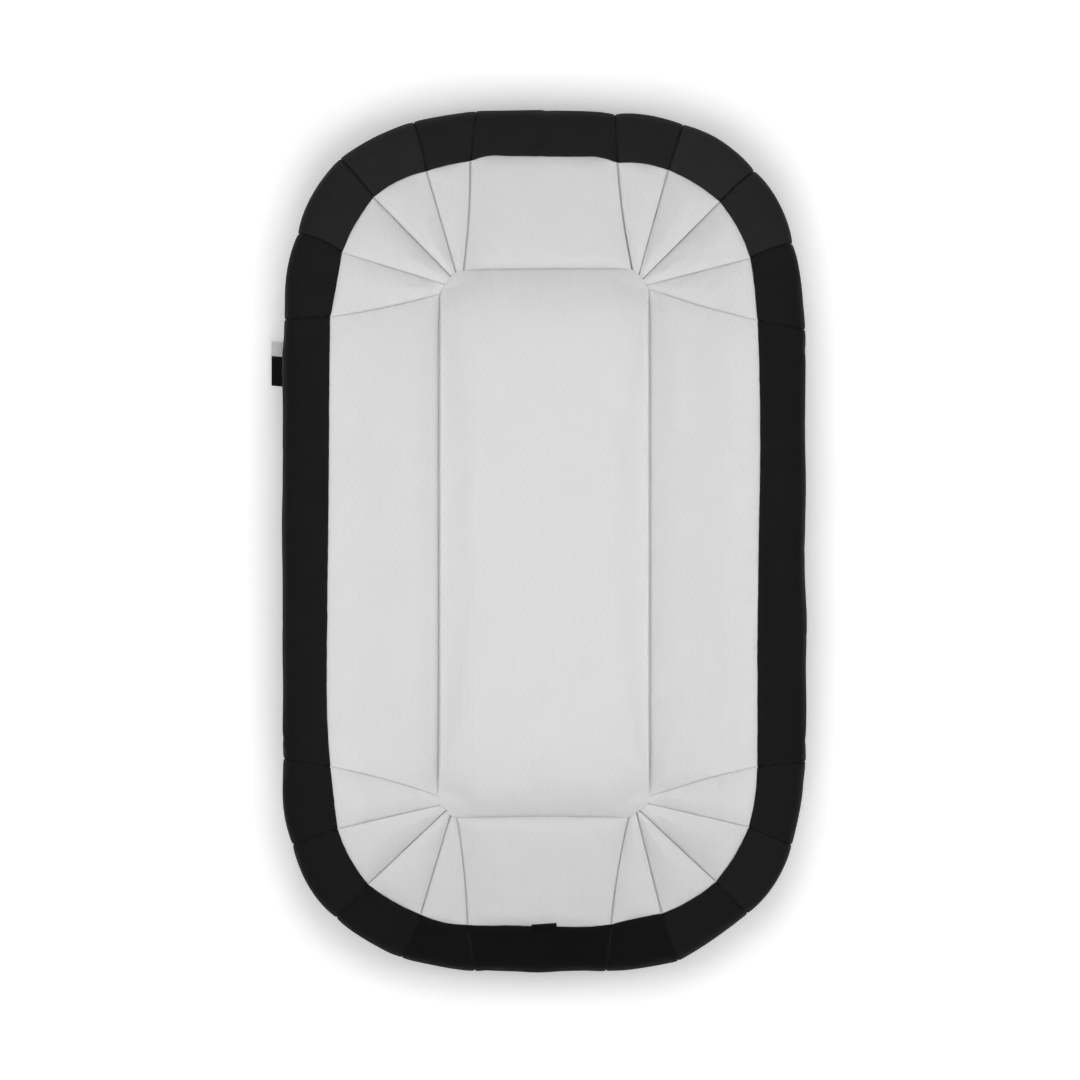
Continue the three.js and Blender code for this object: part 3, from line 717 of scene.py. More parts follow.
SEAM_PAINTED_SHADE = 0.8  # painted shade: how much darker the dark knit is painted down in its seams, also standing for their dark thread
SHADE_REACH = 1.4  # how far out that shows, in widths of the seam's fold
HEAD_PAINTED_SHEEN = 0.50  # painted sheen: how much lighter the knit is painted towards the head, where its pile leans
BIAS_PAINTED_SHEEN = 0.7  # painted sheen: how much lighter it is painted where a panel is cut across its grain
PAINTED_SHEEN_DIRECTION = math.radians(60)  # the direction in which that painted sheen shows most, from +X towards the head


def fan_fade(points):
    """How deep the mat's seam is: shallow where the fans of seams meet its corners."""
    away = grown(fan_distance(points), (FAN_RADIUS, FAN_SEAM_REACH))
    at_end = grown(np.abs(points[..., 1]), MAT_END)
    return (MAT_SEAM_LEAST + (1 - MAT_SEAM_LEAST) * away) * (1 - MAT_SEAM_LOSS * at_end)


def rim_fade(run):
    """How deep the seams over the rim are: shallow next to the wall, and again down the outer side."""
    inner = RIM_SEAM_LEAST + (1 - RIM_SEAM_LEAST) * grown(run, RIM_SEAM_INNER)
    return inner * (1 - RIM_SEAM_LOSS * grown(run, RIM_SEAM_OUTER))


def seam_fold(kind, distance):
    """How deep the cloth is drawn in at a distance from a seam."""
    deep, narrow, shallow, wide = SEAM_FOLDS[kind]
    distance = np.maximum(distance, 0)
    fold = np.clip(1 - distance / narrow, 0, 1) if kind == "rim" else np.exp(-distance / narrow)
    return deep * fold + shallow * np.exp(-((distance / wide) ** 2))


def creases(points, listed):
    """How far creases lower the cloth: each is a sunk line with a low ridge beside it."""
    total = np.zeros(points.shape[:-1])
    for start, end, depth, width in listed:
        start, end = np.array(start, float), np.array(end, float)
        length = np.linalg.norm(end - start)
        along = (end - start) / length
        away = points[..., :2] / MM - start
        share = np.clip(away @ along / length, 0, 1)
        away = away - share[..., None] * (end - start)
        side = away @ np.array([-along[1], along[0]])
        distance = np.hypot(side, away @ along)
        fade = np.sqrt(np.clip(np.sin(math.pi * np.clip(share, 0.02, 0.98)), 0, 1))
        sunk = np.exp(-((distance / width) ** 2))
        ridge = RIDGE_SHARE * np.exp(-(((side - RIDGE_AWAY * width) / width) ** 2)) * (distance < 4 * width)
        total += depth * fade * (sunk - ridge) * MM
    return total


def painted_sheen_tone(panel):
    """How light one panel of the dark knit is painted, by the direction in which it faces: a painted sheen
    of its pile and grain.
    """
    middle = middle_of(panel, "outer") - middle_of(panel, "inner")
    angle = math.atan2(middle[1], middle[0])
    across_grain = abs(math.sin(2 * angle)) * (1 + 0.5 * math.cos(angle - PAINTED_SHEEN_DIRECTION))
    return 1 + HEAD_PAINTED_SHEEN * math.sin(angle) + BIAS_PAINTED_SHEEN * across_grain


def padded_panels():
    patches = patch_list()
    for (kind, name, panel, length, span), swollen in zip(patches, fill_with_cloth(patches)):
        s, t = fine_shares(kind, length), fine_shares(kind, span)
        points, normal, inset, ends, run = surface_of(kind, panel, s, t)
        points = points + resample(swollen, s, t)
        groove, along = seam_fold(kind, inset), seam_fold(kind, ends)
        if kind == "mat":
            groove = groove * fan_fade(points)
        elif kind == "wall":
            along = along * np.where(ends == run, fan_fade(points), LONG_SEAM_SHARES["wall"])
            groove = np.maximum(groove * np.where(s < 0.5, *panel["depths"])[:, None], along)
        else:
            groove = np.maximum(groove * rim_fade(run), LONG_SEAM_SHARES["rim"] * along)
        nearest = np.minimum(inset, ends)
        pucker = PUCKER[kind] * np.exp(-nearest / PUCKER_REACH) * ripple(points, PUCKER_WAVE, PUCKER_SEED)
        height, wavelength = WAVES[kind]
        wave = height * ripple(points, wavelength, WAVE_SEED) * rise(nearest, WAVE_REACH)
        raised = pucker - creases(points, CREASES[kind]) + wave - groove
        points = points + normal * raised[..., None]
        both = np.stack([points, points - normal * COVER_THICKNESS])
        uv = joined((s * length)[:, None], run)
        # painted sheen on each rim panel, by the way it faces
        tone = painted_sheen_tone(panel) if kind == "rim" else 1.0
        # painted shade down the seams of the dark knit, also standing for their dark thread
        shade = 1 - SEAM_PAINTED_SHADE * np.clip(SHADE_REACH - inset / SEAM_FOLDS["rim"][1], 0, 1)
        faces = closed_faces(*inset.shape, kind == "mat")
        piece = make_mesh(f"{name}_padded", both, faces, np.stack([uv, uv]), tone, np.stack([shade, shade]))
        modifier = piece.modifiers.new("Subdivision", "SUBSURF")
        modifier.levels = modifier.render_levels = 1
        node = "mat_cover" if kind == "mat" else name
        finish_piece(piece, SLOTS[kind], node=node)


# Foam and underside

WALL_FOAM_START = 0.002  # share of the wall's way at which its foam starts
CORNER_STEPS, SIDE_STEPS = 9, 25
UNDER_STEPS = {"left": 90, "right": 90, "head": 30, "foot": 30, None: 14}
INWARD_SHARES = np.array([0.12, 0.3, 0.5, 0.7, 0.88, 0.97])  # from the underside's edge to its middle line
MIDDLE_LINE = (0.02, 0.55, 1)  # its places, as shares of those of the underside's edge


def under_profile(inset, floor, steps):
    """Distance out from the rim seam, and height, round the underside's edge down to the floor."""
    angle = even(steps) * QUARTER
    out = RIM_WIDTH - EDGE_TUCK - UNDER_ROUND + (UNDER_ROUND - inset) * np.cos(angle)
    return out, EDGE_SEAM_HEIGHT - (EDGE_SEAM_HEIGHT - floor) * np.sin(angle)


def foam_section(panel, s):
    """One closed upright section of the foam, from the mat seam over the rim and back along the floor."""
    t = np.concatenate([[WALL_FOAM_START], even(9)[1:-1]])
    plan = plan_grid(panel, "wall", np.array([s]), t)[0]
    wall = upright(plan, wall_height(plan, t) - FOAM_DEPTH)[0]
    bottom = UNDER_THICKNESS + CLEARANCE
    over = np.array(rim_profile(even(19), low_edge_of(panel), FOAM_DEPTH))
    under = np.array(under_profile(FOAM_DEPTH, bottom, 6))
    skip = 0 if panel["side"] == "right" else 1
    out, high = np.concatenate([over, under[:, skip:]], 1)
    rim = upright(plan_grid(panel, "rim", np.array([s]), out / RIM_WIDTH)[0], high)[0]
    return np.concatenate([[[wall[0, 0], wall[0, 1], bottom]], wall, rim])


def foam_pieces():
    starts = range(0, len(PANELS), 1 + GUSSETS)
    parts = {f"side_foam_{side}": PANELS[k : k + 1] for k, (side, _, _) in zip(starts, ROUND)}
    parts |= {f"corner_foam_{end}": PANELS[k + 1 : k + 1 + GUSSETS] for k, (_, _, end) in zip(starts, ROUND)}
    for node, members in parts.items():
        steps = even(CORNER_STEPS if len(members) > 1 else SIDE_STEPS)
        sections = [foam_section(panel, s) for panel in members for s in steps[:-1]]
        sections.append(foam_section(members[-1], steps[-1]))
        piece = make_mesh(f"{node}_block", sections, tube_faces(len(sections), len(sections[0])))
        finish_piece(piece, "foam", node=node)
    top = mat_surface(even(25), even(61))[0]
    top[..., 2] -= FOAM_DEPTH
    base = upright(top[..., :2], UNDER_THICKNESS + CLEARANCE)
    piece = make_mesh("mat_foam_block", np.stack([top, base]), closed_faces(*top.shape[:2], True))
    finish_piece(piece, "foam", node="mat_foam")


def underside():
    """A shallow dish of dark knit from the edge seam down to the floor."""
    layers = []
    for inset in (0.0, UNDER_THICKNESS):
        out, high = under_profile(inset, inset, 9)
        rings = []
        for panel in PANELS:
            s = even(UNDER_STEPS[panel["side"]] + 1)[:-1]
            rings.append(upright(plan_grid(panel, "rim", s, out / RIM_WIDTH)[0], high))
        rings = np.concatenate(rings)
        edge = rings[:, -1]
        middle = edge * MIDDLE_LINE
        inward = edge[:, None] + (middle - edge)[:, None] * INWARD_SHARES[:, None]
        layers.append(np.concatenate([rings, inward], 1))
    points = np.swapaxes(np.concatenate([layers[0][:, ::-1], layers[1]], 1), 0, 1)
    piece = make_mesh("underside_cover_cloth", points, tube_faces(*points.shape[:2]), points[..., :2])
    finish_piece(piece, "dark_knit", node="underside_cover")


# Zip

# The zip's own frame has x along it, y up across it and z out of the lounger
ZIP_ORIGIN = np.array([OUTLINES["outer"][0] - EDGE_TUCK, 0, EDGE_SEAM_HEIGHT + ZIP_BAND / 2])
ZIP_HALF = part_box("zip_tape_upper")[1].y
ZIP_SLIT = 0.0013
TAPE_THICKNESS = 0.0008
TAPE_ROWS = 337
TAPE_RIB = (0.00003, 0.0031)  # height and pitch of the weave's ribs
# A tape's section in millimetres: away from the slit, and down from its face
TAPE_FRONT = [(0.02, 0.50), (0.08, 0.15), (0.25, 0.0), (0.5, 0.0), (0.72, 0.1), (0.9, 0.22), (1.2, 0.22)]
TAPE_FRONT += [(1.35, 0.34), (1.5, 0.22), (2.2, 0.2), (3.0, 0.2), (3.6, 0.2), (3.8, 0.3), (3.85, 0.5)]
TAPE_BACK = [(3.8, 0.72), (3.6, 0.8), (2.4, 0.8), (1.2, 0.8), (0.25, 0.8), (0.08, 0.72)]
STITCH_PITCH = 0.0028
STITCH_SIZE = (0.0011, 0.00022)  # half its length and half its width
STITCH_PLACE = (0.00135, -0.00022)  # away from the slit, and out of the tape's face
STITCH_END, STITCH_FLATNESS = 0.94, 0.8  # how far a stitch narrows to its ends, and how flat it lies
COIL_SIZE = (0.0023, 0.0020)
COIL_WIRE = 0.00032
COIL_PITCH = 0.0014
COIL_INSET = 0.001
COIL_STEPS = 12
WIRE_SIDES = 6
SLIDER_PLACE = -0.2231
PULL_AXIS = 0.00225

# A closed strip behind the zip: how far in from the edge and how high its four long edges stand
FACING_DEPTHS = np.array([0.0056, 0.0056, 0.0062, 0.0062])
FACING_HEIGHTS = np.array([0.034, 0.019, 0.019, 0.034])
FACING_SHARES = np.linspace(-0.03, 1.03, 120)  # it runs a little past the zip's side at both ends

# Small fittings in millimetres in the zip's frame, each a box from its low to its high corner. The stops'
# insets lead from the zip's end to where each stop starts.
STOP = np.array([(0, -2.3, -0.3), (2.4, 2.3, 0.35)])
STOP_INSETS = {"head": 8.6, "foot": 1.0}
GRIP_RIDGE = np.array([(-21.2, -2.1, 0.35), (-20.5, 2.1, 0.93)])
GRIP_PITCH = 1.5
GRIP_RIDGES = 6
RIB = np.array([(-5.6, -0.35, 1.1), (-1.1, 0.35, 1.5)])
RIB_PLACES = (-2.9, 2.9)
BEVELS = {"stop": 0.25, "body": 0.16, "grip": 0.2, "ribs": 0.18}
BOX_FACES = ((0, 1, 3, 2), (4, 6, 7, 5), (0, 4, 5, 1), (2, 3, 7, 6), (0, 2, 6, 4), (1, 5, 7, 3))


def from_zip(points):
    return ZIP_ORIGIN + np.asarray(points)[..., [2, 0, 1]]


def zip_tape(node, side):
    """A woven tape with a corded edge along the slit and a sunk line of stitches."""
    outline = np.array(TAPE_FRONT + TAPE_BACK)[::side] * MM
    along = np.linspace(-ZIP_HALF, ZIP_HALF, TAPE_ROWS)
    x, y = np.meshgrid(along, side * (ZIP_SLIT / 2 + outline[:, 0]), indexing="ij")
    z = -outline[:, 1] + TAPE_RIB[0] * np.sin(x * TURN / TAPE_RIB[1]) * (outline[:, 1] < 0.5 * MM)
    faces = tube_faces(len(along), len(outline))
    piece = make_mesh(f"{node}_woven", from_zip(joined(x, y, z)), faces, joined(x, y))
    finish_piece(piece, "zip_weave", node=node)
    share = np.linspace(-1, 1, 5)[:, None]
    angle = np.arange(WIRE_SIDES) / WIRE_SIDES * TURN
    size = STITCH_SIZE[1] * np.sqrt(1 - (STITCH_END * share) ** 2)
    y = side * (ZIP_SLIT / 2 + STITCH_PLACE[0]) + size * np.cos(angle)
    z = STITCH_PLACE[1] + size * np.sin(angle) * STITCH_FLATNESS
    count = int(2 * ZIP_HALF / STITCH_PITCH) - 1
    x = -ZIP_HALF + STITCH_PITCH * np.arange(1, count + 1)[:, None, None] + share * STITCH_SIZE[0]
    faces = repeated_faces(tube_faces(*y.shape), count, y.size)
    sewn = make_mesh(f"{node}_stitches", from_zip(joined(x, y, z)), faces)
    finish_piece(sewn, "zip_weave")


def zip_coil(node, side):
    """One row of teeth: a flattened coil of wire behind its tape."""
    turns = 2 * (ZIP_HALF - COIL_INSET) / COIL_PITCH
    phase = np.arange(int(turns * COIL_STEPS) + 1) / COIL_STEPS * TURN
    half_y, half_z = COIL_SIZE[0] / 2 - COIL_WIRE, COIL_SIZE[1] / 2 - COIL_WIRE
    middle_y = side * (ZIP_SLIT + COIL_SIZE[0]) / 2
    middle_z = -TAPE_THICKNESS - CLEARANCE - COIL_SIZE[1] / 2
    x = -ZIP_HALF + COIL_INSET + COIL_PITCH * phase / TURN
    route = joined(x, middle_y + half_y * np.cos(phase), middle_z + half_z * np.sin(phase))
    tangent = unit(np.gradient(route, axis=0))
    outward = joined(0, np.cos(phase), np.sin(phase))
    outward = unit(outward - (outward * tangent).sum(-1, keepdims=True) * tangent)
    across = np.cross(tangent, outward)
    angle = (np.arange(WIRE_SIDES) / WIRE_SIDES * TURN)[:, None]
    rings = route[:, None] + COIL_WIRE * (outward[:, None] * np.cos(angle) + across[:, None] * np.sin(angle))
    piece = make_mesh(f"{node}_teeth", from_zip(rings), tube_faces(len(route), WIRE_SIDES))
    finish_piece(piece, "zip_plastic", node=node)


def zip_facing():
    """A strip of knit behind the zip that hides the foam."""
    out = RIM_WIDTH - EDGE_TUCK - FACING_DEPTHS
    points = upright(plan_grid(PANELS[0], "rim", FACING_SHARES, out / RIM_WIDTH)[0], FACING_HEIGHTS)
    piece = make_mesh("zip_facing", points, tube_faces(*points.shape[:2]), points[..., 1:])
    finish_piece(piece, "dark_knit")


def round_edges(piece, kind):
    modifier = piece.modifiers.new("Edges", "BEVEL")
    modifier.width = BEVELS[kind] * MM
    modifier.segments = 2
    modifier.limit_method = "ANGLE"
    modifier.angle_limit = math.radians(40)


def fitting(name, body, kind, boxes):
    """Bevelled metal boxes that ride on one body."""
    points = [point for low, high in boxes for point in itertools.product(*zip(low, high))]
    piece = make_mesh(name, from_zip(np.array(points) * MM), repeated_faces(BOX_FACES, len(boxes), 8))
    round_edges(piece, kind)
    finish_piece(piece, "zip_metal", body)


def zip_fittings():
    """Stops at the zip's two ends, and the bevelled slider and pull with their ribs and grip ridges."""
    end, start = ZIP_HALF / MM, SLIDER_PLACE / MM
    fitting("zip_stop_head", "lounger", "stop", [STOP + (end - STOP_INSETS["head"], 0, 0)])
    fitting("zip_stop_foot", "lounger", "stop", [STOP + (STOP_INSETS["foot"] - end, 0, 0)])
    for node in ("zip_slider", "zip_pull"):
        for slot in bpy.data.objects[node].material_slots:
            slot.material = MATERIALS["zip_metal"]
        round_edges(bpy.data.objects[node], "body")
    ridges = [GRIP_RIDGE + (start + GRIP_PITCH * k, 0, PULL_AXIS / MM) for k in range(GRIP_RIDGES)]
    fitting("zip_pull_grip", "pull", "grip", ridges)
    fitting("zip_slider_ribs", "slider", "ribs", [RIB + (start, y, 0) for y in RIB_PLACES])


# Labels

LABEL_LAYER = 0.00045
LABEL_SKEW = 0.0018  # how far its free edge stands towards the head
LABEL_FOLD = 0.0007  # how much shorter its middle line is than the whole, for the rounded fold
LABEL_DROOP = 0.0030
LABEL_CURL = 0.0004  # how far the corners of its free edge curl up
# Half the thickness of each folded strap at its root, and how much more it is at its fold
LABEL_GAP, LABEL_GAP_MORE = 0.00052, 0.00016
LABEL_PINCH = 0.00006  # how much less it is half-way
CARE_GAP, CARE_GAP_MORE = 0.00048, 0.0001
CARE_HALF_WIDTH = 0.0145
CARE_LENGTH = 0.0085
CARE_STEPS = 10
CARE_LEAN = math.radians(27)  # half-way, a quarter less at its root and a quarter more at its fold
CARE_ROOT = (-0.0012, 0.0003)  # from the seam, into it and up
CARE_SWAY = 0.0010
STRAP_STEP = 0.0012
THINNEST_GAP = 0.00004


def folded_strap(name, path, half_gap, breadth, place):
    """A tape folded double: path is its middle line from the seam to the fold, as seen from its edge."""
    tangent = unit(np.gradient(path, axis=0))
    normal = joined(-tangent[:, 1], tangent[:, 0])
    gap = half_gap[:, None]
    inner_gap = np.maximum(gap - LABEL_LAYER, THINNEST_GAP)
    turn = np.linspace(QUARTER, -QUARTER, 9)[1:-1, None]

    def cap(radius, angles):
        return path[-1] + radius * (np.cos(angles) * tangent[-1] + np.sin(angles) * normal[-1])

    outside = [path + normal * gap, cap(gap[-1], turn), (path - normal * gap)[::-1]]
    inside = [path - normal * inner_gap, cap(inner_gap[-1], -turn), (path + normal * inner_gap)[::-1]]
    section = np.concatenate(outside + inside)
    steps = max(5, round(abs(breadth[1] - breadth[0]) / STRAP_STEP))
    along = np.linspace(*breadth, steps)[:, None]
    faces = tube_faces(steps, len(section))
    return make_mesh(name, place(section[None], along), faces, joined(along, run_along(section)))


def side_label(node, slot, lean):
    """One tape of the label on the left, standing out of the edge seam and drooping."""
    low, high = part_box(node)
    share = even(15)
    reach = high.x - low.x - LABEL_FOLD
    path = joined(reach * share, EDGE_SEAM_HEIGHT - LABEL_DROOP * share**1.8)
    half_gap = LABEL_GAP + LABEL_GAP_MORE * smooth(share) - LABEL_PINCH * np.sin(math.pi * share)

    def place(section, y):
        middle = (y - low.y) / (high.y - low.y) - 0.5
        out = section[..., 0] / reach
        curl = lean * middle * out**2 + LABEL_CURL * (2 * middle) ** 4 * out
        return joined(high.x - section[..., 0], y + LABEL_SKEW * out, section[..., 1] + curl)

    piece = folded_strap(f"{node}_folded", path, half_gap, (low.y, high.y), place)
    finish_piece(piece, slot, node=node)


def care_label():
    """A small folded tab in the seam between the foot wall and the rim, leaning over the wall."""
    share = even(CARE_STEPS + 1)
    angle = CARE_LEAN * (0.75 + 0.5 * share)
    step = joined(np.sin(angle), np.cos(angle)) * CARE_LENGTH / CARE_STEPS
    root = np.array([-OUTLINES["inner"][1], RIM_SEAM_HEIGHT]) + CARE_ROOT
    path = root + np.cumsum(step, 0) - step[0]
    half_gap = CARE_GAP + CARE_GAP_MORE * smooth(share)

    def place(section, x):
        sway = CARE_SWAY * x / CARE_HALF_WIDTH
        return joined(x, section[..., 0] + sway, section[..., 1])

    breadth = (-CARE_HALF_WIDTH, CARE_HALF_WIDTH)
    piece = folded_strap("care_label_folded", path, half_gap, breadth, place)
    finish_piece(piece, "dark_weave", node="care_label")


# Materials


class Tree:
    """A material's tree of nodes, with short ways to add to it."""

    def __init__(self, name):
        self.material = bpy.data.materials.new(name)
        self.material.use_nodes = True
        self.shader = self.material.node_tree.nodes["Principled BSDF"]

    def add(self, kind, inputs=(), **settings):
        node = self.material.node_tree.nodes.new(kind)
        for key, value in settings.items():
            setattr(node, key, value)
        for key, value in dict(inputs).items():
            self.put(node.inputs[key], value)
        return node

    def put(self, socket, value):
        if isinstance(value, bpy.types.NodeSocket):
            self.material.node_tree.links.new(value, socket)
        else:
            socket.default_value = value

    def math(self, operation, *values):
        return self.add("ShaderNodeMath", enumerate(values), operation=operation).outputs[0]

    def vector(self, operation, *values):
        return self.add("ShaderNodeVectorMath", enumerate(values), operation=operation).outputs

    def plus(self, first, second):
        return self.math("ADD", first, second)

    def minus(self, first, second):
        return self.math("SUBTRACT", first, second)

    def times(self, first, second):
        return self.math("MULTIPLY", first, second)

    def mix(self, factor, first, second):
        return self.add("ShaderNodeMix", {0: factor, 6: first, 7: second}, data_type="RGBA").outputs[2]

    def span(self, value, start, end, low=0.0, high=1.0, shape="LINEAR"):
        """Low where the value is at its start, and high where it is at its end."""
        inputs = {"Value": value, "From Min": start, "From Max": end, "To Min": low, "To Max": high}
        return self.add("ShaderNodeMapRange", inputs, interpolation_type=shape).outputs[0]

    def place(self):
        return self.add("ShaderNodeTexCoord").outputs["Object"]

    def split(self, vector):
        return self.add("ShaderNodeSeparateXYZ", {"Vector": vector}).outputs

    def layer(self, name):
        """The coordinates of a UV layer."""
        return self.split(self.add("ShaderNodeUVMap", uv_map=name).outputs[0])

    def noise(self, scale, detail=3.0, place=None):
        inputs = {"Vector": place or self.place(), "Scale": scale, "Detail": detail}
        return self.add("ShaderNodeTexNoise", inputs).outputs[0]

    def set(self, **values):
        for key, value in values.items():
            self.put(self.shader.inputs[key.replace("_", " ")], value)

    def bump(self, height, strength, distance):
        node = self.add("ShaderNodeBump", {"Height": height, "Strength": strength, "Distance": distance})
        self.put(self.shader.inputs["Normal"], node.outputs[0])


def grey(value):
    return (value, value, value, 1)


# Pitches across and along: the pale mesh's eyelets in staggered columns, its knit, and the dark knit
EYELET = (0.00424, 0.0124)
EYELET_BAR = (0.17, 0.24, 0.12)  # half its width and length, and its soft edge, in pitches
PALE_KNIT = (EYELET[0] / 3, 0.0011)
DARK_KNIT = (0.0010, 0.0008)
LEG_SLOPE = 0.9  # how steeply a loop's legs slope
COLUMN_SHARE = 0.6  # of a knit's height that its columns make, and its loops the rest
ENDS_PAINTED_SHADE = (0.30, 0.42)  # painted shade: the pale mesh is painted darker between these distances from the middle, towards the head and foot


def bar(tree, x, y, half_x, half_y, soft):
    """1 inside an upright bar of a cell and 0 outside, with a soft edge."""
    sides = []
    for value, half in ((x, half_x), (y, half_y)):
        sides.append(tree.span(tree.math("ABSOLUTE", value), half, half - soft, shape="SMOOTHSTEP"))
    return tree.times(*sides)


def knit(tree, along, across, pitches):
    """The height of a plain knit: columns of loops whose two legs slope together."""
    wale, course = pitches
    x = tree.minus(tree.math("FRACT", tree.math("DIVIDE", along, wale)), 0.5)
    column = tree.math("COSINE", tree.times(x, TURN))
    slope = tree.plus(tree.math("DIVIDE", across, course), tree.times(tree.math("ABSOLUTE", x), LEG_SLOPE))
    loop = tree.math("SINE", tree.times(slope, TURN))
    return tree.plus(tree.times(column, COLUMN_SHARE), tree.times(loop, 1 - COLUMN_SHARE))


def pale_mesh():
    """Pale spacer mesh: fine upright knit with staggered rows of long eyelets, and painted shade towards the
    head and foot.
    """
    tree = Tree("pale_mesh")
    place = tree.place()
    axes = tree.split(place)
    waver = tree.times(tree.minus(tree.noise(14.0, 2.0), 0.5), 0.0016)
    along, across = tree.plus(axes["X"], waver), tree.plus(axes["Y"], waver)
    column = tree.math("DIVIDE", along, EYELET[0])
    stagger = tree.times(tree.math("FLOOR", column), 0.5)
    row = tree.plus(tree.math("DIVIDE", across, EYELET[1]), stagger)
    x, y = (tree.minus(tree.math("FRACT", value), 0.5) for value in (column, row))
    eyelet = bar(tree, x, y, *EYELET_BAR)
    loops = knit(tree, along, across, PALE_KNIT)
    stretched = tree.vector("MULTIPLY", place, (1.0, 0.06, 1.0))[0]
    fine = tree.times(tree.plus(tree.noise(2600.0, 2.0), tree.noise(420.0, 2.0, stretched)), 0.35)
    tone = tree.plus(tree.times(tree.noise(30.0, 4.0), 0.3), fine)
    # painted shade: darker towards the head and foot ends
    tone = tree.minus(tone, tree.times(tree.span(tree.math("ABSOLUTE", axes["Y"]), *ENDS_PAINTED_SHADE), 0.9))
    plain = tree.mix(tree.span(tone, -1.0, 1.0), grey(0.60), grey(0.76))
    worked = tree.mix(tree.times(tree.minus(1.0, loops), 0.10), plain, grey(0.52))
    colour = tree.mix(tree.times(eyelet, 0.065), worked, grey(0.30))
    tree.set(Base_Color=colour, Roughness=0.9, Specular_IOR_Level=0.1)
    tree.set(Sheen_Weight=0.03, Sheen_Roughness=0.5)
    tree.bump(tree.minus(tree.times(loops, 0.5), tree.times(eyelet, 0.45)), 0.35, 0.0005)
    return tree.material


def dark_knit():
    """Smooth black knit, with fine loops that run along the rim and a faint sheen, painted sheen on each
    panel and painted shade down its seams.
    """
    tree = Tree("dark_knit")
    cloth, painted_sheen_and_shade = tree.layer("cloth"), tree.layer("painted_sheen_and_shade")
    loops = knit(tree, cloth["Y"], cloth["X"], DARK_KNIT)
    fibre = tree.noise(1900.0, 2.0)
    tone = tree.plus(tree.times(tree.noise(22.0, 4.0), 0.6), tree.times(fibre, 0.4))
    # painted sheen of each panel (layer X) and painted shade down the seams (layer Y) go into the knit's
    # colour
    light = tree.times(tree.times(painted_sheen_and_shade["X"], painted_sheen_and_shade["Y"]), tree.plus(0.0080, tree.times(tone, 0.0042)))
    shade = tree.times(light, tree.minus(1.0, tree.times(tree.minus(1.0, loops), 0.16)))
    colour = tree.add("ShaderNodeCombineColor", {"Red": shade, "Green": shade, "Blue": shade}).outputs[0]
    tree.set(Base_Color=colour, Roughness=0.8, Specular_IOR_Level=0.03)
    tree.set(Sheen_Weight=0.06, Sheen_Roughness=0.4)
    tree.bump(tree.plus(loops, tree.times(fibre, 0.5)), 0.3, 0.0003)
    return tree.material


def foam():
    tree = Tree("foam")
    cell = tree.add("ShaderNodeTexVoronoi", {"Vector": tree.place(), "Scale": 700.0}).outputs["Distance"]
    shade = tree.mix(tree.noise(12.0), (0.84, 0.80, 0.67, 1), (0.78, 0.73, 0.58, 1))
    colour = tree.mix(cell, shade, (0.60, 0.56, 0.44, 1))
    tree.set(Base_Color=colour, Roughness=1.0, Specular_IOR_Level=0.1)
    tree.bump(cell, 0.6, 0.001)
    return tree.material


def weave(name, dark, light, thread):
    """A plain weave on the cloth's own coordinates: warp and weft cross over each other in turn."""
    tree = Tree(name)
    cloth = tree.layer("cloth")
    warp, weft = (tree.math("SINE", tree.times(cloth[axis], math.pi / thread)) for axis in "XY")
    ribs = tree.times(tree.math("ABSOLUTE", warp), tree.math("ABSOLUTE", weft))
    height = tree.plus(tree.times(tree.times(warp, weft), 0.35), ribs)
    tone = tree.plus(tree.times(tree.noise(160.0), 0.55), tree.times(height, 0.45))
    colour = tree.mix(tone, grey(dark), grey(light))
    tree.set(Base_Color=colour, Roughness=0.8, Sheen_Weight=0.01, Specular_IOR_Level=0.1)
    tree.bump(height, 0.5, 0.0002)
    return tree.material


def zip_plastic():
    tree = Tree("zip_plastic")
    flow = tree.noise(1500.0, 2.0)
    tree.set(Base_Color=tree.mix(tree.noise(90.0), grey(0.016), grey(0.026)), Specular_IOR_Level=0.4)
    tree.set(Roughness=tree.span(flow, 0.0, 1.0, 0.32, 0.5))
    tree.bump(flow, 0.08, 0.0001)
    return tree.material


def zip_metal():
    """Black-plated metal, lighter where handling has worn its edges."""
    tree = Tree("zip_metal")
    worn = tree.span(tree.add("ShaderNodeNewGeometry").outputs["Pointiness"], 0.52, 0.62)
    speckle = tree.noise(900.0, 4.0)
    colour = tree.mix(tree.times(worn, speckle), grey(0.024), grey(0.16))
    tree.set(Base_Color=colour, Metallic=0.9, Specular_IOR_Level=0.5)
    tree.set(Roughness=tree.span(speckle, 0.0, 1.0, 0.28, 0.44))
    tree.bump(speckle, 0.06, 0.0001)
    return tree.material


MATERIALS = {
    "pale_mesh": pale_mesh(),
    "dark_knit": dark_knit(),
    "foam": foam(),
    "zip_weave": weave("zip_weave", 0.009, 0.020, 0.00055),
    "zip_plastic": zip_plastic(),
    "zip_metal": zip_metal(),
    "pale_weave": weave("pale_weave", 0.85, 0.95, 0.0004),
    "dark_weave": weave("dark_weave", 0.002, 0.005, 0.0004),
}

# Studio

CAMERA_LENS = 400
CAMERA_SENSOR = 36
PIXEL = 0.0011614  # what one pixel of the photograph spans at the lounger's widest line
FRAME_PIXELS = 1080
CAMERA_SHIFT = (-4, 0.5)  # pixels
FLOOR_SIZE = 30
FLOOR_DEPTH = 0.0002
FLOOR_GLOW = 0.25  # next to the lounger, and 1 beyond the reach
FLOOR_REACH = (0.7, 1.7)
SKY_LIGHT = 0.12

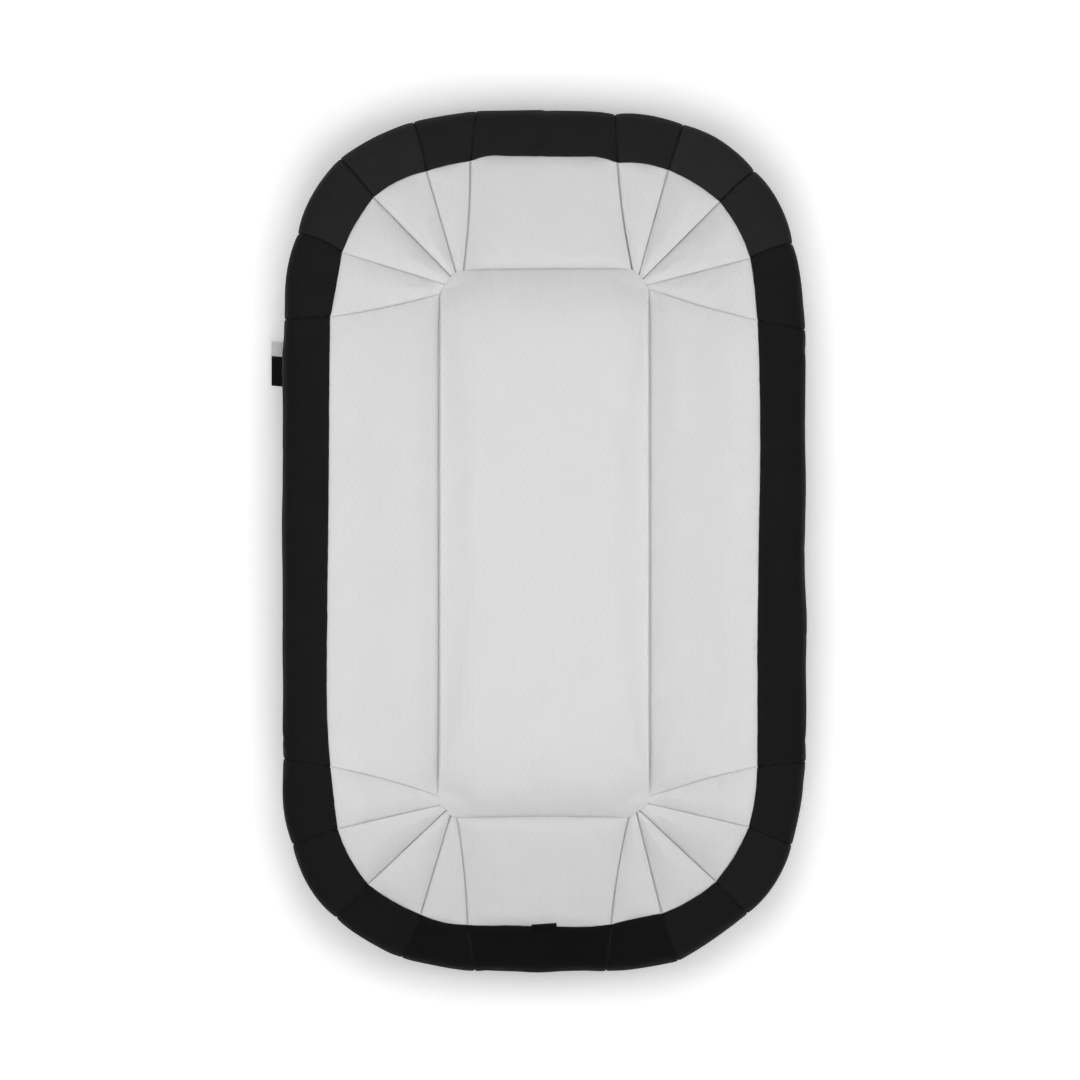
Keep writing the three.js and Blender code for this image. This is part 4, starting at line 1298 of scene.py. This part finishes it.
# Lamps of the studio: place, size and power
LAMPS = {
    "lamp_foot": ((0, -2.8, 1.05), (1.8, 1.0), 34),
    "lamp_head": ((0, 2.8, 1.05), (1.8, 1.0), 28),
    "lamp_left": ((-2.3, 0, 1.9), (1.2, 1.8), 10),
    "lamp_right": ((2.3, 0, 1.9), (1.2, 1.8), 13),
    "lamp_above": ((0, 0, 1.4), (0.9, 0.9), 11.0),
}


def camera():
    data = bpy.data.cameras.new("camera")
    data.lens = CAMERA_LENS
    data.sensor_width = CAMERA_SENSOR
    data.clip_start = 0.1
    data.clip_end = 100
    height = WIDEST_HEIGHT + PIXEL * FRAME_PIXELS * CAMERA_LENS / CAMERA_SENSOR
    place = (CAMERA_SHIFT[0] * PIXEL, CAMERA_SHIFT[1] * PIXEL, height)
    bpy.context.scene.camera = placed("camera", data, place)


def lamp(name, place, size, power):
    data = bpy.data.lights.new(name, "AREA")
    data.shape = "RECTANGLE"
    data.size, data.size_y = size
    data.energy = power
    item = placed(name, data, place)
    item.rotation_mode = "QUATERNION"
    item.rotation_quaternion = (-Vector(place)).to_track_quat("-Z", "Y")


def sky():
    """A world that shows white to the camera and in gloss, and lights the object only a little."""
    world = bpy.data.worlds.new("studio")
    world.use_nodes = True
    nodes, links = world.node_tree.nodes, world.node_tree.links
    path, seen, level = (nodes.new(f"ShaderNode{kind}") for kind in ("LightPath", "Math", "MapRange"))
    seen.operation = "MAXIMUM"
    links.new(path.outputs["Is Camera Ray"], seen.inputs[0])
    links.new(path.outputs["Is Glossy Ray"], seen.inputs[1])
    level.inputs["To Min"].default_value = SKY_LIGHT
    level.inputs["To Max"].default_value = 1.0
    links.new(seen.outputs[0], level.inputs["Value"])
    links.new(level.outputs[0], nodes["Background"].inputs["Strength"])
    nodes["Background"].inputs["Color"].default_value = grey(1)
    bpy.context.scene.world = world


def floor():
    """A pale floor that shows as white and keeps the shadow."""
    sides = ((-1, -1), (1, -1), (1, 1), (-1, 1))
    corners = [(x * FLOOR_SIZE, y * FLOOR_SIZE, -FLOOR_DEPTH) for x, y in sides]
    mesh = plain_mesh("floor", corners, [(0, 1, 2, 3)])
    tree = Tree("floor")
    seen = tree.add("ShaderNodeLightPath").outputs["Is Camera Ray"]
    tree.set(Base_Color=tree.mix(seen, grey(0.8), grey(1.0)), Roughness=1.0, Specular_IOR_Level=0.0)
    away = tree.vector("LENGTH", tree.place())["Value"]
    glow = tree.span(away, *FLOOR_REACH, FLOOR_GLOW, 1.0)
    tree.set(Emission_Color=grey(1.0), Emission_Strength=tree.times(seen, glow))
    mesh.materials.append(tree.material)
    placed("floor", mesh)


padded_panels()
foam_pieces()
underside()
for level, side in (("upper", 1), ("lower", -1)):
    zip_tape(f"zip_tape_{level}", side)
    zip_coil(f"zip_coil_{level}", side)
zip_facing()
zip_fittings()
side_label("side_label_pale", "pale_weave", 0.0008)
side_label("side_label_dark", "dark_weave", -0.0010)
care_label()
sky()
for name, settings in LAMPS.items():
    lamp(name, *settings)
floor()
camera()

bpy.context.scene.view_settings.view_transform = "Standard"
